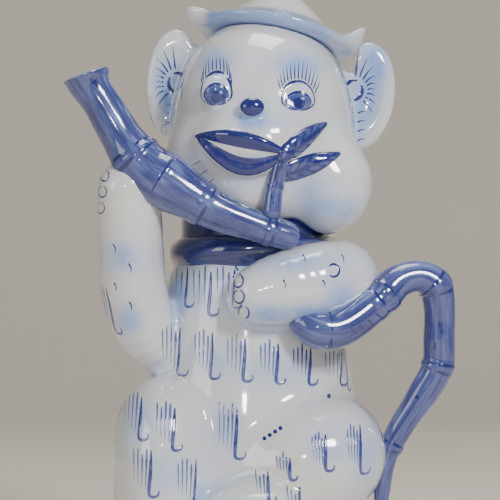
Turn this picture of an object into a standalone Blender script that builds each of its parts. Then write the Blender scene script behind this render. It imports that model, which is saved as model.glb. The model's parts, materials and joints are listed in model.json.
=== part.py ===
"""A painted porcelain teapot in the shape of a seated bear cub with bamboo, as its separately cast pieces.

Metres, +Z up, the cub faces -Y, the spout is on -X and the handle on +X. The flat base lies on z = 0.
"""

import math

import bmesh
import bpy
from mathutils import Euler, Matrix, Vector

MM = 0.001
GAP = 0.3  # hairline joint between luted pieces, mm
WALL = 3.8  # thickness of the slip-cast shell, mm

# Torso: height, centre x, centre y, half width, half depth, all mm.
TORSO_RINGS = (
    (0.0, 0.0, 2.0, 39.0, 35.0),
    (2.5, 0.0, 2.0, 42.0, 38.0),
    (14.0, 0.0, 2.0, 44.5, 41.0),
    (32.0, 0.0, 2.0, 45.5, 42.5),
    (52.0, 0.0, 1.5, 44.0, 41.5),
    (70.0, 0.0, 1.0, 40.5, 38.5),
    (85.0, 0.0, 0.5, 37.8, 36.0),
    (100.0, 0.5, 0.5, 35.5, 34.0),
    (112.0, 1.0, 0.0, 33.0, 31.5),
    (120.0, 1.5, 0.0, 30.5, 29.0),
    (126.0, 2.0, 0.0, 29.0, 27.5),
)
FLOOR = 4.5
NECK_BORE = (24.5, 23.0)

# Head: centre, radii, mm. The first lobe is the cranium, then the cheeks, the chin, the muzzle and the nose.
CRANIUM = ((5.0, -1.0, 172.5), (35.5, 39.5, 42.5))
CHEEKS = (
    ((28.8, -16.0, 149.0), (18.5, 18.5, 19.5)),
    ((-15.0, -14.0, 155.0), (18.5, 20.0, 18.5)),
    ((0.5, -20.5, 148.5), (18.5, 18.5, 17.0)),
)
MUZZLE = ((1.5, -33.5, 165.0), (19.0, 13.0, 11.0))
NOSE = ((0.8, -41.0, 177.0), (4.8, 4.6, 3.7))
NECK_SEAM = 126.0
NECK_TOP = 152.0

# The lid's own frame: the centre of its seat, and how far it leans to the handle side and back.
LID_SEAT = (9.6, 6.0, 202.6)
LID_LEAN_SIDE = 11.0
LID_LEAN_BACK = 14.0
MOUTH_RADIUS = 19.0
FLANGE_RADIUS = 18.4
FLANGE_WALL = 2.8
FLANGE_DEPTH = 9.0

# Bamboo: x, y, z, radius along each centreline, mm.
STALK_LINE = (
    (14.0, -36.5, 128.8, 5.4),
    (3.4, -38.5, 132.2, 6.0),
    (-11.8, -39.5, 137.8, 7.4),
    (-22.0, -39.5, 143.4, 9.0),
    (-33.0, -38.5, 150.0, 11.3),
    (-38.6, -38.0, 153.9, 10.5),
    (-43.9, -37.5, 159.4, 9.2),
    (-49.0, -37.0, 167.4, 7.3),
    (-54.7, -36.5, 178.6, 7.0),
    (-60.2, -36.0, 185.4, 7.7),
    (-61.8, -36.0, 190.0, 8.9),
)
STALK_SEAM = 4
FEED_STATION = 3
SPOUT_BORE = 4.6
HANDLE_LINE = (
    (22.0, -38.0, 94.0, 7.2),
    (26.5, -38.0, 93.2, 7.8),
    (32.5, -36.5, 93.6, 7.9),
    (40.0, -33.5, 97.5, 7.5),
    (50.0, -29.5, 105.5, 7.5),
    (56.4, -27.0, 111.4, 6.6),
    (64.2, -25.0, 113.4, 6.4),
    (70.4, -24.0, 110.2, 6.8),
    (72.4, -23.0, 102.5, 6.3),
    (72.4, -22.5, 90.0, 6.1),
    (71.8, -22.0, 78.7, 6.5),
    (66.4, -22.0, 68.6, 6.0),
    (59.0, -22.0, 57.5, 5.2),
    (54.2, -22.0, 48.6, 4.4),
    (51.6, -22.0, 39.0, 3.5),
    (50.2, -22.0, 27.0, 2.8),
)
HANDLE_SEAMS = (4, 10)

ARM_SPOUT_LINE = (
    (-34.0, -15.0, 84.0, 9.0),
    (-41.0, -19.0, 95.0, 11.6),
    (-45.0, -24.0, 110.0, 11.8),
    (-45.8, -30.0, 126.0, 11.2),
    (-46.0, -34.0, 140.0, 11.4),
    (-47.0, -35.5, 146.5, 10.6),
)
ARM_HANDLE_LINE = (
    (34.0, -24.0, 112.5, 15.0),
    (24.0, -31.0, 111.0, 15.4),
    (12.0, -36.0, 109.0, 13.6),
    (3.5, -38.5, 107.0, 11.2),
)

# The upright leg as stacked ellipses, as for the torso.
LEG_SPOUT_RINGS = (
    (0.6, -32.5, -23.0, 17.0, 22.5),
    (9.0, -32.5, -23.0, 19.0, 26.0),
    (28.0, -32.5, -23.0, 19.6, 27.0),
    (45.0, -32.5, -23.0, 19.5, 27.0),
    (56.0, -32.5, -22.5, 18.6, 25.5),
    (64.0, -32.5, -22.0, 16.3, 22.5),
    (70.0, -32.5, -21.5, 12.8, 17.5),
    (74.0, -32.5, -21.0, 7.6, 10.5),
    (75.6, -32.5, -21.0, 3.0, 4.2),
)
# Crossed leg and feet: centre, radii, turn about Y in degrees, mm.
LEG_HANDLE = ((21.5, -22.0, 42.0), (31.5, 28.0, 26.0), -24.0)
FOOT_SPOUT = ((-33.0, -47.0, 10.8), (15.0, 21.0, 12.0), 0.0)
FOOT_HANDLE = ((2.0, -44.0, 18.0), (25.0, 19.0, 19.4), -12.0)

SCARF_RADII = (29.6, 28.2)
SCARF_SECTION = (4.2, 6.2)
SCARF_HEIGHT = 122.5

EARS = {
    "ear_spout_side": ((-29.8, 6.0, 189.0), (11.5, 4.2, 21.5), 3.0),
    "ear_handle_side": ((44.5, 6.0, 184.0), (12.5, 4.2, 21.5), 9.0),
}
LID_PATH_RADIUS = 32.6
LEAVES = {
    "leaf_upper": ((11.5, -39.5, 156.0), (29.3, -32.6, 172.4), 4.0),
    "leaf_lower": ((12.0, -39.5, 151.5), (34.2, -29.6, 160.4), 3.9),
}
STEM_LINE = (
    (8.2, -40.5, 138.5, 3.1),
    (9.0, -40.0, 145.0, 3.1),
    (10.8, -40.5, 153.5, 2.8),
)

SEGMENTS = 22
TUBE_SEGMENTS = 14
CURVE_STEPS = 12
DOME_ANGLES = (22, 46, 68, 82)


def clear_scene():
    for obj in list(bpy.data.objects):
        bpy.data.objects.remove(obj)


def material(name, colour, roughness):
    made = bpy.data.materials.new(name)
    made.use_nodes = True
    shader = made.node_tree.nodes["Principled BSDF"]
    shader.inputs["Base Color"].default_value = (*colour, 1.0)
    shader.inputs["Roughness"].default_value = roughness
    shader.inputs["Coat Weight"].default_value = 1.0
    shader.inputs["Coat Roughness"].default_value = 0.04
    made.diffuse_color = (*colour, 1.0)
    return made


def finish_mesh(name, bm, smooth=True):
    """Turns a bmesh built in millimetres into an object in metres, facing outwards."""
    bmesh.ops.recalc_face_normals(bm, faces=bm.faces)
    bmesh.ops.scale(bm, vec=(MM, MM, MM), verts=bm.verts)
    mesh = bpy.data.meshes.new(name)
    bm.to_mesh(mesh)
    bm.free()
    if smooth:
        mesh.shade_smooth()
    obj = bpy.data.objects.new(name, mesh)
    bpy.context.scene.collection.objects.link(obj)
    return obj


def skin_rings(bm, rings, closed=False):
    """Joins rings of equal length with quads; unless closed on itself, each end gets a fan to its middle."""
    layers = [[bm.verts.new(point) for point in ring] for ring in rings]
    count = len(layers[0])
    pairs = list(zip(layers, layers[1:]))
    if closed:
        pairs.append((layers[-1], layers[0]))
    for low, high in pairs:
        for i in range(count):
            j = (i + 1) % count
            bm.faces.new((low[i], low[j], high[j], high[i]))
    if closed:
        return
    for layer in (layers[0], layers[-1]):
        middle = bm.verts.new(sum((vert.co for vert in layer), Vector()) / count)
        for i in range(count):
            bm.faces.new((layer[i], layer[(i + 1) % count], middle))


def ellipse_ring(centre, across, along, half_across, half_along, segments):
    return [
        centre
        + across * (half_across * math.cos(2 * math.pi * i / segments))
        + along * (half_along * math.sin(2 * math.pi * i / segments))
        for i in range(segments)
    ]


def ball(name, centre, radii, turn=(0.0, 0.0, 0.0), grow=0.0, segments=SEGMENTS, rings=14):
    bm = bmesh.new()
    bmesh.ops.create_uvsphere(bm, u_segments=segments, v_segments=rings, radius=1.0)
    size = Matrix.Diagonal([radius + grow for radius in radii] + [1.0])
    rotation = Euler([math.radians(angle) for angle in turn]).to_matrix().to_4x4()
    bm.transform(Matrix.Translation(centre) @ rotation @ size)
    return finish_mesh(name, bm)


def loft(name, table, grow=0.0, segments=SEGMENTS + 4):
    """A body of stacked horizontal ellipses."""
    bm = bmesh.new()
    rings = []
    for height, x, y, half_width, half_depth in table:
        rings.append(
            ellipse_ring(
                Vector((x, y, height)),
                Vector((1, 0, 0)),
                Vector((0, 1, 0)),
                half_width + grow,
                half_depth + grow,
                segments,
            )
        )
    skin_rings(bm, rings)
    return finish_mesh(name, bm)


def spline(a, b, c, d, t):
    """One point of the Catmull-Rom curve from b to c."""
    return 0.5 * (
        2 * b + (c - a) * t + (2 * a - 5 * b + 4 * c - d) * t * t + (3 * b - a - 3 * c + d) * t**3
    )


def smooth_line(line):
    """Close points along the smooth curve through the line's points, CURVE_STEPS for each of its spans."""
    points = [Vector(station) for station in line]
    points = [points[0] * 2 - points[1], *points, points[-1] * 2 - points[-2]]
    dense = []
    for i in range(1, len(points) - 2):
        a, b, c, d = points[i - 1 : i + 3]
        dense.extend(spline(a, b, c, d, step / CURVE_STEPS) for step in range(CURVE_STEPS))
    dense.append(points[-2])
    return dense


def stations_along(line, spacing, seams=()):
    """Evenly spaced (point, radius, direction) stations on a smooth curve, as one list for each stretch
    between the seams, which are indices into line."""
    dense = smooth_line(line)
    bounds = [0, *(seam * CURVE_STEPS for seam in seams), len(dense) - 1]
    stretches = []
    for start, end in zip(bounds, bounds[1:]):
        lengths = [0.0]
        for i in range(start, end):
            lengths.append(lengths[-1] + (dense[i + 1].xyz - dense[i].xyz).length)
        count = max(2, round(lengths[-1] / spacing))
        stretch = []
        at = 0
        for step in range(count + 1):
            wanted = lengths[-1] * step / count
            while at < len(lengths) - 2 and lengths[at + 1] < wanted:
                at += 1
            share = (wanted - lengths[at]) / (lengths[at + 1] - lengths[at])
            share = min(max(share, 0.0), 1.0)
            low = start + at
            station = dense[low].lerp(dense[low + 1], share)
            middle = low + round(share)
            before, after = dense[max(middle - 1, 0)], dense[min(middle + 1, len(dense) - 1)]
            stretch.append((station.xyz, station.w, (after.xyz - before.xyz).normalized()))
        stretches.append(stretch)
    return stretches


def between(first, second, share):
    point = first[0].lerp(second[0], share)
    radius = first[1] + (second[1] - first[1]) * share
    return point, radius, first[2].lerp(second[2], share).normalized()


def with_nodes(stations, joints, height=0.9, half_width=1.5):
    """Adds a low ridge, as at a bamboo node, at each share of the length in joints."""
    runs = [0.0]
    for before, after in zip(stations, stations[1:]):
        runs.append(runs[-1] + (after[0] - before[0]).length)
    total = runs[-1]
    ridge = ((-1.0, 0.0), (-0.4, height), (0.4, height), (1.0, 0.0))
    places = [(joint * total + offset * half_width, rise) for joint in joints for offset, rise in ridge]
    clear = 1.7 * half_width
    kept = [(run, 0.0) for run in runs[1:-1] if all(abs(run - joint * total) > clear for joint in joints)]
    kept += [(place, rise) for place, rise in places if 0.5 < place < total - 0.5]
    made = [stations[0]]
    for place, rise in sorted(kept):
        low = max(i for i, run in enumerate(runs[:-1]) if run <= place)
        share = (place - runs[low]) / (runs[low + 1] - runs[low])
        point, radius, direction = between(stations[low], stations[low + 1], share)
        made.append((point, radius + rise, direction))
    made.append(stations[-1])
    return made


def drawn_back(stations, start, end):
    """The stations with their two ends drawn back along the path by start and end."""
    first, last = stations[0], stations[-1]
    first = (first[0] + first[2] * start, *first[1:])
    last = (last[0] - last[2] * end, *last[1:])
    return [first, *stations[1:-1], last]


def frames(directions):
    """The two directions across a path at each of its stations, carried along it without twist."""
    across = directions[0].orthogonal().normalized()
    found = []
    for direction in directions:
        across = (across - direction * across.dot(direction)).normalized()
        found.append((across, direction.cross(across), direction))
    return found


def tube(name, stations, grow=0.0, ends=("flat", "flat"), segments=TUBE_SEGMENTS):
    """A round rod along its stations. An end is flat or domed; growing it also lengthens it."""
    bases = frames([direction for _, _, direction in stations])
    circles = [(point, radius + grow, basis) for (point, radius, _), basis in zip(stations, bases)]
    for end, sign, index in ((ends[0], -1, 0), (ends[1], 1, -1)):
        point, radius, basis = circles[index]
        if end == "dome":
            extra = []
            for angle in DOME_ANGLES:
                arc = math.radians(angle)
                place = point + basis[2] * (sign * math.sin(arc) * radius)
                extra.append((place, math.cos(arc) * radius, basis))
        elif grow:
            extra = [(point + basis[2] * (sign * grow), radius, basis)]
        else:
            extra = []
        circles = list(reversed(extra)) + circles if sign < 0 else circles + extra
    bm = bmesh.new()
    rings = [ellipse_ring(point, *basis[:2], radius, radius, segments) for point, radius, basis in circles]
    skin_rings(bm, rings)
    return finish_mesh(name, bm)


def as_cutter(obj):
    obj.hide_render = True
    obj.display_type = "WIRE"
    return obj


def boolean(target, operation, others):
    for other in others:
        modifier = target.modifiers.new(f"{operation.lower()} {other.name}", "BOOLEAN")
        modifier.operation = operation
        modifier.solver = "EXACT"
        modifier.object = other


def cut(target, *cutters):
    boolean(target, "DIFFERENCE", cutters)


def join(target, *parts):
    boolean(target, "UNION", [as_cutter(part) for part in parts])


def rod_cutter(name, start, end, radius, segments=16):
    """A straight cutter that runs past both its ends."""
    start, end = Vector(start), Vector(end)
    direction = (end - start).normalized()
    return as_cutter(tube(name, [(start, radius, direction), (end, radius, direction)], segments=segments))


def block_cutter(name, centre, size, matrix=None):
    bm = bmesh.new()
    bmesh.ops.create_cube(bm, size=1.0)
    placed = Matrix.Translation(centre) @ Matrix.Diagonal([*size, 1.0])
    bm.transform((matrix or Matrix.Identity(4)) @ placed)
    return as_cutter(finish_mesh(name, bm, smooth=False))


def lid_frame():
    lean = Euler((math.radians(-LID_LEAN_BACK), math.radians(LID_LEAN_SIDE), 0.0)).to_matrix().to_4x4()
    return Matrix.Translation(LID_SEAT) @ lean


def paint(obj, slot):
    obj.data.materials.clear()
    obj.data.materials.append(slot)


clear_scene()

WHITE_GLAZE = material("white_glaze", (0.83, 0.85, 0.88), 0.12)
COBALT = material("cobalt_paint", (0.03, 0.04, 0.22), 0.12)
BAMBOO_BLUE = material("bamboo_blue", (0.11, 0.16, 0.45), 0.14)
PALE_BLUE = material("pale_blue_wash", (0.42, 0.53, 0.79), 0.13)

# Grown copies of the big forms: whatever meets them is cut back to a hairline gap.
HEAD_LOBES = (CRANIUM, *CHEEKS, MUZZLE, NOSE)


def lobe_detail(index):
    return (26, 14) if index == 0 else (16, 10)


torso_grown = as_cutter(loft("cut_torso", TORSO_RINGS, grow=GAP))
head_grown = []
for number, (centre, radii) in enumerate(HEAD_LOBES[:-1]):
    around, tall = lobe_detail(number)
    grown = ball(f"cut_head_{number}", centre, radii, grow=GAP, segments=around, rings=tall)
    head_grown.append(as_cutter(grown))
NECK_RINGS = (
    (NECK_SEAM + GAP / 2, 2.0, 0.0, 29.0, 27.5),
    (NECK_TOP, 3.0, 0.0, 29.5, 28.0),
)
neck_grown = as_cutter(loft("cut_neck", NECK_RINGS, grow=GAP))
head_grown.append(neck_grown)

stalk_stations, spout_stations = stations_along(STALK_LINE, 5.0, (STALK_SEAM,))
stalk_stations = with_nodes(stalk_stations, (0.3, 0.62), height=0.8)
spout_stations = with_nodes(spout_stations, (0.27,), height=1.1)
root_stations, loop_stations, lower_stations = stations_along(HANDLE_LINE, 5.2, HANDLE_SEAMS)
root_stations = with_nodes(root_stations, (0.78, 0.9), height=0.7)
loop_stations = with_nodes(loop_stations, (0.38,), height=0.7)
lower_stations = with_nodes(lower_stations, (0.6,), height=0.8)

# Torso: an open-necked shell with a flat base.
torso = loft("torso_shell", TORSO_RINGS)
inner_rings = [(FLOOR, *TORSO_RINGS[1][1:3], TORSO_RINGS[1][3] - WALL - 2.0, TORSO_RINGS[1][4] - WALL - 2.0)]
for height, x, y, half_width, half_depth in TORSO_RINGS[2:-2]:
    inner_rings.append((height, x, y, half_width - WALL, half_depth - WALL))
inner_rings.append((119.0, 1.8, 0.0, *NECK_BORE))
inner_rings.append((132.0, 2.0, 0.0, *NECK_BORE))
torso_cavity = as_cutter(loft("cut_torso_cavity", inner_rings, segments=SEGMENTS))
torso_top = block_cutter("cut_torso_top", (0, 0, NECK_SEAM - GAP / 2 + 20), (140, 140, 40))
cut(torso, torso_cavity, torso_top)

# Head: its lobes in one shell, hollow, open to the neck below and to the filler mouth above.
head = ball("head_shell", *CRANIUM, segments=26, rings=14)
lobes = [loft("add_neck", NECK_RINGS)]
for number, (centre, radii) in enumerate(HEAD_LOBES[1:]):
    around, tall = (12, 8) if number == len(HEAD_LOBES) - 2 else lobe_detail(1)
    lobes.append(ball(f"add_lobe_{number}", centre, radii, segments=around, rings=tall))
join(head, *lobes)
hollows = [ball("cut_cranium", CRANIUM[0], CRANIUM[1], grow=-WALL, segments=20, rings=12)]
for number, (centre, radii) in enumerate(CHEEKS):
    hollows.append(ball(f"cut_cheek_{number}", centre, radii, grow=-WALL, segments=14, rings=8))
NECK_HOLLOW = ((NECK_SEAM - 6, 2.0, 0.0, *NECK_BORE), (NECK_TOP - 4, 3.0, 0.0, *NECK_BORE))
hollows.append(loft("cut_neck_bore", NECK_HOLLOW, segments=SEGMENTS))
seat_plane = block_cutter("cut_seat", (0, 0, 30), (160, 160, 60), lid_frame())
mouth = rod_cutter(
    "cut_mouth",
    lid_frame() @ Vector((0, 0, -20)),
    lid_frame() @ Vector((0, 0, 10)),
    MOUTH_RADIUS,
    segments=28,
)
cut(head, *[as_cutter(hollow) for hollow in hollows], seat_plane, mouth)

# Spout: the bore rises from the neck through the chest stalk to the lip.
bore_line = [(*station[:3], SPOUT_BORE) for station in STALK_LINE[FEED_STATION:]]
last, before = Vector(STALK_LINE[-1][:3]), Vector(STALK_LINE[-2][:3])
bore_line.append((*(last + (last - before).normalized() * 4.0), SPOUT_BORE))
bore_stations = stations_along(bore_line, 8.0)[0]
spout_bore = as_cutter(tube("cut_spout_bore", bore_stations, ends=("dome", "flat"), segments=12))
feed = Vector(STALK_LINE[FEED_STATION][:3])
feed_ends = (feed + Vector((0, -1.0, 0)), feed + Vector((0, 22.0, 0)))
feed_bore = rod_cutter("cut_feed_bore", *feed_ends, SPOUT_BORE, segments=14)
cut(head, feed_bore)

stalk = tube("bamboo_chest_stalk", drawn_back(stalk_stations, 0.0, GAP / 2), ends=("dome", "flat"))
cut(stalk, torso_grown, *head_grown, spout_bore, feed_bore)
spout = tube("bamboo_spout", drawn_back(spout_stations, GAP / 2, 0.0))
cut(spout, spout_bore, *head_grown)
spout_grown = as_cutter(tube("cut_spout", spout_stations, grow=GAP))
stalk_grown = as_cutter(tube("cut_stalk", stalk_stations, grow=GAP, ends=("dome", "flat")))

def scarf_ring(name, grow=0.0):
    bm = bmesh.new()
    rings = []
    count = 26
    for i in range(count):
        angle = 2 * math.pi * i / count
        outward = Vector((math.cos(angle), math.sin(angle), 0.0))
        centre = Vector((2.0, 0.0, SCARF_HEIGHT))
        centre += Vector((outward.x * SCARF_RADII[0], outward.y * SCARF_RADII[1], 0.0))
        across, tall = SCARF_SECTION[0] + grow, SCARF_SECTION[1] + grow
        rings.append(ellipse_ring(centre, outward, Vector((0, 0, 1)), across, tall, 10))
    skin_rings(bm, rings, closed=True)
    return finish_mesh(name, bm)


# Scarf: a soft ring over the seam of head and body, behind the stalk.
scarf = scarf_ring("neck_scarf")
cut(scarf, torso_grown, *head_grown, stalk_grown)
scarf_grown = as_cutter(scarf_ring("cut_scarf", grow=GAP))

# Ears: rounded plates, dished in front, clear of the lid's way up.
lid_path = rod_cutter(
    "cut_lid_path",
    lid_frame() @ Vector((0, 0, -4)),
    lid_frame() @ Vector((0, 0, 60)),
    LID_PATH_RADIUS,
    segments=32,
)
for name, (centre, radii, roll) in EARS.items():
    ear = ball(name, centre, radii, turn=(0.0, roll, 0.0), segments=20, rings=12)
    dish_centre = Vector(centre) + Vector((0.0, -radii[1] - 1.2, 0.0))
    dish = ball(
        f"cut_dish_{name}",
        dish_centre,
        (radii[0] * 0.66, radii[1] * 0.9, radii[2] * 0.74),
        turn=(0.0, roll, 0.0),
        segments=16,
        rings=10,
    )
    cut(ear, as_cutter(dish), *head_grown, lid_path)
    paint(ear, WHITE_GLAZE)

# Arms and paws.
arm_spout_stations = stations_along(ARM_SPOUT_LINE, 7.0)[0]
arm_handle_stations = stations_along(ARM_HANDLE_LINE, 6.0)[0]
arm_spout = tube("arm_spout_side", arm_spout_stations, ends=("dome", "dome"), segments=16)
arm_handle = tube("arm_handle_side", arm_handle_stations, ends=("dome", "dome"), segments=16)
cut(arm_spout, torso_grown, spout_grown, stalk_grown, scarf_grown, *head_grown)
cut(arm_handle, torso_grown, stalk_grown, scarf_grown, *head_grown)
arm_handle_grown = as_cutter(
    tube("cut_arm_handle", arm_handle_stations, grow=GAP, ends=("dome", "dome"), segments=16)
)

# Legs and feet, flat where they reach the base plane.
under_base = block_cutter("cut_base", (0, 0, -20), (200, 200, 40))
leg_spout = loft("leg_spout_side", LEG_SPOUT_RINGS, segments=SEGMENTS)
leg_turn = (0.0, LEG_HANDLE[2], 0.0)
leg_handle = ball("leg_handle_side", *LEG_HANDLE[:2], turn=leg_turn)
leg_spout_grown = as_cutter(loft("cut_leg_spout", LEG_SPOUT_RINGS, grow=GAP, segments=SEGMENTS))
leg_handle_grown = as_cutter(ball("cut_leg_handle", *LEG_HANDLE[:2], turn=leg_turn, grow=GAP))
cut(leg_spout, torso_grown)
cut(leg_handle, torso_grown, under_base, leg_spout_grown)
for name, (centre, radii, roll) in {"foot_spout_side": FOOT_SPOUT, "foot_handle_side": FOOT_HANDLE}.items():
    foot = ball(name, centre, radii, turn=(0.0, roll, 0.0), segments=20, rings=12)
    cut(foot, under_base, torso_grown, leg_spout_grown, leg_handle_grown)
    paint(foot, WHITE_GLAZE)
foot_grown = as_cutter(ball("cut_foot", *FOOT_HANDLE[:2], turn=(0.0, FOOT_HANDLE[2], 0.0), grow=GAP))
cut(bpy.data.objects["foot_spout_side"], foot_grown)

# Handle: bamboo from under the paw, round the finger loop, to the thigh.
half = GAP / 2
handle_root = tube("handle_upper_root", drawn_back(root_stations, 0.0, half), ends=("dome", "flat"))
cut(handle_root, torso_grown, arm_handle_grown)
handle_loop = tube("handle_loop", drawn_back(loop_stations, half, half))
cut(handle_loop, arm_handle_grown)
handle_lower = tube("handle_lower_root", drawn_back(lower_stations, half, 0.0), ends=("flat", "dome"))
cut(handle_lower, leg_handle_grown, torso_grown)

# Sprig in the mouth: a stem and two leaves laid on the cheek.
stem_stations = stations_along(STEM_LINE, 3.5)[0]
stem = tube("sprig_stem", stem_stations, ends=("dome", "dome"), segments=10)
cut(stem, *head_grown, stalk_grown)
stem_grown = as_cutter(tube("cut_stem", stem_stations, grow=GAP, ends=("dome", "dome"), segments=10))
leaf_forms = {}
for name, (root, tip, half_width) in LEAVES.items():
    root, tip = Vector(root), Vector(tip)
    middle = (root + tip) / 2
    roll = -math.degrees(math.atan2(tip.z - root.z, tip.x - root.x))
    yaw = math.degrees(math.atan2(tip.y - root.y, tip.x - root.x))
    radii = ((tip - root).length / 2, 4.6, half_width)
    leaf_forms[name] = (middle, radii, (0.0, roll, yaw))
upper_leaf = ball("leaf_upper", *leaf_forms["leaf_upper"], segments=16, rings=10)
lower_leaf = ball("leaf_lower", *leaf_forms["leaf_lower"], segments=16, rings=10)
upper_grown = as_cutter(ball("cut_leaf_upper", *leaf_forms["leaf_upper"], grow=GAP, segments=16, rings=10))
cut(upper_leaf, *head_grown, stem_grown)
cut(lower_leaf, *head_grown, stem_grown, upper_grown)


def brim_point(angle):
    """1 at the brim's two points, which lie a little forward of its left and right ends, and 0 elsewhere."""
    return math.exp(-(((-math.sin(angle) - 0.30) / 0.16) ** 2))


def hat_ring(radius, height, reach=0.0, rise=0.0):
    ring = []
    for i in range(HAT_SEGMENTS):
        angle = 2 * math.pi * i / HAT_SEGMENTS
        front = min(max(0.5 - 2.0 * math.sin(angle), 0.0), 1.0)
        point = brim_point(angle)
        out = radius + reach * (0.45 * front + 0.55 * point)
        ring.append(Vector((out * math.cos(angle), out * math.sin(angle), height + rise * point)))
    return ring


# Lid: the hat lifts off along its own axis; the flange and the knob go with it.
HAT_SEGMENTS = 40
HAT_PROFILE = (
    # radius, height, extra reach and extra rise at the brim's points
    (17.6, 6.0),
    (17.6, 0.3),
    (26.4, 0.3),
    (28.0, 0.8, 4.0, 2.0),
    (28.9, 1.8, 5.6, 4.6),
    (29.0, 3.2, 6.6, 7.4),
    (28.2, 4.0, 6.4, 7.6),
    (26.6, 5.0, 4.4, 4.4),
    (24.6, 6.6, 2.2, 1.8),
    (20.6, 10.2),
    (15.2, 15.0),
    (9.4, 19.8),
    (5.0, 22.6),
    (3.6, 23.2),
)
HAT_HOLLOW = ((17.6, 6.0), (15.0, 9.2), (10.0, 13.8), (5.0, 17.6))
bm = bmesh.new()
rings = [hat_ring(radius, height) for radius, height in reversed(HAT_HOLLOW[1:])]
rings += [hat_ring(*row) for row in HAT_PROFILE]
skin_rings(bm, rings)
bm.transform(lid_frame())
hat = finish_mesh("lid_hat", bm)

bm = bmesh.new()
inner = FLANGE_RADIUS - FLANGE_WALL
FLANGE_PROFILE = (
    (FLANGE_RADIUS - 0.8, -FLANGE_DEPTH),
    (FLANGE_RADIUS, -FLANGE_DEPTH + 1.2),
    (FLANGE_RADIUS, -0.6),
    (FLANGE_RADIUS, 0.0),
    (inner, 0.0),
    (inner, -FLANGE_DEPTH),
)
flange_rings = [
    ellipse_ring(Vector((0, 0, height)), Vector((1, 0, 0)), Vector((0, 1, 0)), radius, radius, 32)
    for radius, height in FLANGE_PROFILE
]
skin_rings(bm, flange_rings, closed=True)
bm.transform(lid_frame())
flange = finish_mesh("lid_flange", bm)

bm = bmesh.new()
KNOB_PROFILE = ((3.4, 23.5), (3.0, 24.8), (4.4, 26.2), (5.6, 28.4), (5.4, 30.8), (3.8, 32.8), (1.6, 33.7))
knob_rings = [
    ellipse_ring(Vector((0, 0, height)), Vector((1, 0, 0)), Vector((0, 1, 0)), radius, radius, 20)
    for radius, height in KNOB_PROFILE
]
skin_rings(bm, knob_rings)
bm.transform(lid_frame())
knob = finish_mesh("lid_knob", bm)

for obj in (torso, head, arm_spout, arm_handle, leg_spout, leg_handle, flange):
    paint(obj, WHITE_GLAZE)
for obj in (scarf, upper_leaf, lower_leaf, stem):
    paint(obj, COBALT)
for obj in (spout, stalk, handle_root, handle_loop, handle_lower):
    paint(obj, BAMBOO_BLUE)
for obj in (hat, knob):
    paint(obj, PALE_BLUE)
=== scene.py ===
"""Looks for the porcelain bear-cub teapot: glazed skins, cobalt brushwork, floor, light and camera."""

import json
import math
import random

import bmesh
import bpy
import numpy as np
from mathutils import Matrix, Vector


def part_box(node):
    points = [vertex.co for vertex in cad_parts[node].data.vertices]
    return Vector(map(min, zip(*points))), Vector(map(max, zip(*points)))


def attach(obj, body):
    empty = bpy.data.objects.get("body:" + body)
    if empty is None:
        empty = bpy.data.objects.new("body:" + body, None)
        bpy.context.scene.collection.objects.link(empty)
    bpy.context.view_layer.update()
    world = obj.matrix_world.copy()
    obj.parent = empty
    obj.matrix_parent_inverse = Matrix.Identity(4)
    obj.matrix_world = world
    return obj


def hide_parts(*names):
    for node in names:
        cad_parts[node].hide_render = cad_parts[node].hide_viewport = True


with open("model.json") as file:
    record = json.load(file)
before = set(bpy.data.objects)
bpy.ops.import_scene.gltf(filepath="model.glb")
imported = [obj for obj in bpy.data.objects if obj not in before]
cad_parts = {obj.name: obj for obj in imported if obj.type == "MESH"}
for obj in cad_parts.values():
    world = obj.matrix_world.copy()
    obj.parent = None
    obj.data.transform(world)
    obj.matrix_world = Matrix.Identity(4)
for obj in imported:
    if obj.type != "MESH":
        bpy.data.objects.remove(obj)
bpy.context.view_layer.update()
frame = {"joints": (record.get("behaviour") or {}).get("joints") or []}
MM = 0.001
rng = random.Random(7)


def box_mm(node):
    low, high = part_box(node)
    return np.array(low) / MM, np.array(high) / MM


# Places are in millimetres from HOME, the middle of the pot's base, which the torso's own rings are set from.
# The other forms and all the marks are set from the boxes of their own nodes, by the four helpers below.
torso_low, torso_high = box_mm("torso_shell")
HOME = np.array([(torso_low[0] + torso_high[0]) / 2, (torso_low[1] + torso_high[1]) / 2 - 2.0, torso_low[2]])


def middle_of(node):
    """The middle of a node's box, from HOME."""
    low, high = box_mm(node)
    return (low + high) / 2 - HOME


def share_of(node, across, up):
    """x, z at shares of a node's box, as it is seen from in front."""
    low, high = box_mm(node)
    at = low + (high - low) * (across, 0.0, up) - HOME
    return at[[0, 2]]


def offset_from(node, rows):
    """Rows whose first three numbers are offsets from the middle of a node's box."""
    rows = np.array(rows, float)
    rows[:, :3] += middle_of(node)
    return rows


def seen_on(node, *rows):
    """Rows whose first two numbers are x, z offsets from the middle of a node's box."""
    x, _, z = middle_of(node)
    return [(x + row[0], z + row[1], *row[2:]) for row in rows]


# ---------------------------------------------------------------- distance fields
def ellipsoid(centre, radii, turn=None):
    centre, radii = np.array(centre, float), np.array(radii, float)

    def field(p):
        q = p - centre
        if turn is not None:
            q = q @ turn
        k0 = np.sqrt(((q / radii) ** 2).sum(-1))
        k1 = np.sqrt(((q / radii**2) ** 2).sum(-1))
        return k0 * (k0 - 1.0) / np.maximum(k1, 1e-6)

    return field


def rod(line):
    """A round rod of varying radius along points (x, y, z, r)."""
    line = np.array(line, float)

    def field(p):
        best = None
        for a, b in zip(line[:-1], line[1:]):
            ab = b[:3] - a[:3]
            t = np.clip(((p - a[:3]) @ ab) / (ab @ ab), 0.0, 1.0)
            d = np.sqrt(((p - a[:3] - t[..., None] * ab) ** 2).sum(-1)) - (a[3] + (b[3] - a[3]) * t)
            best = d if best is None else np.minimum(best, d)
        return best

    return field


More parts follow.
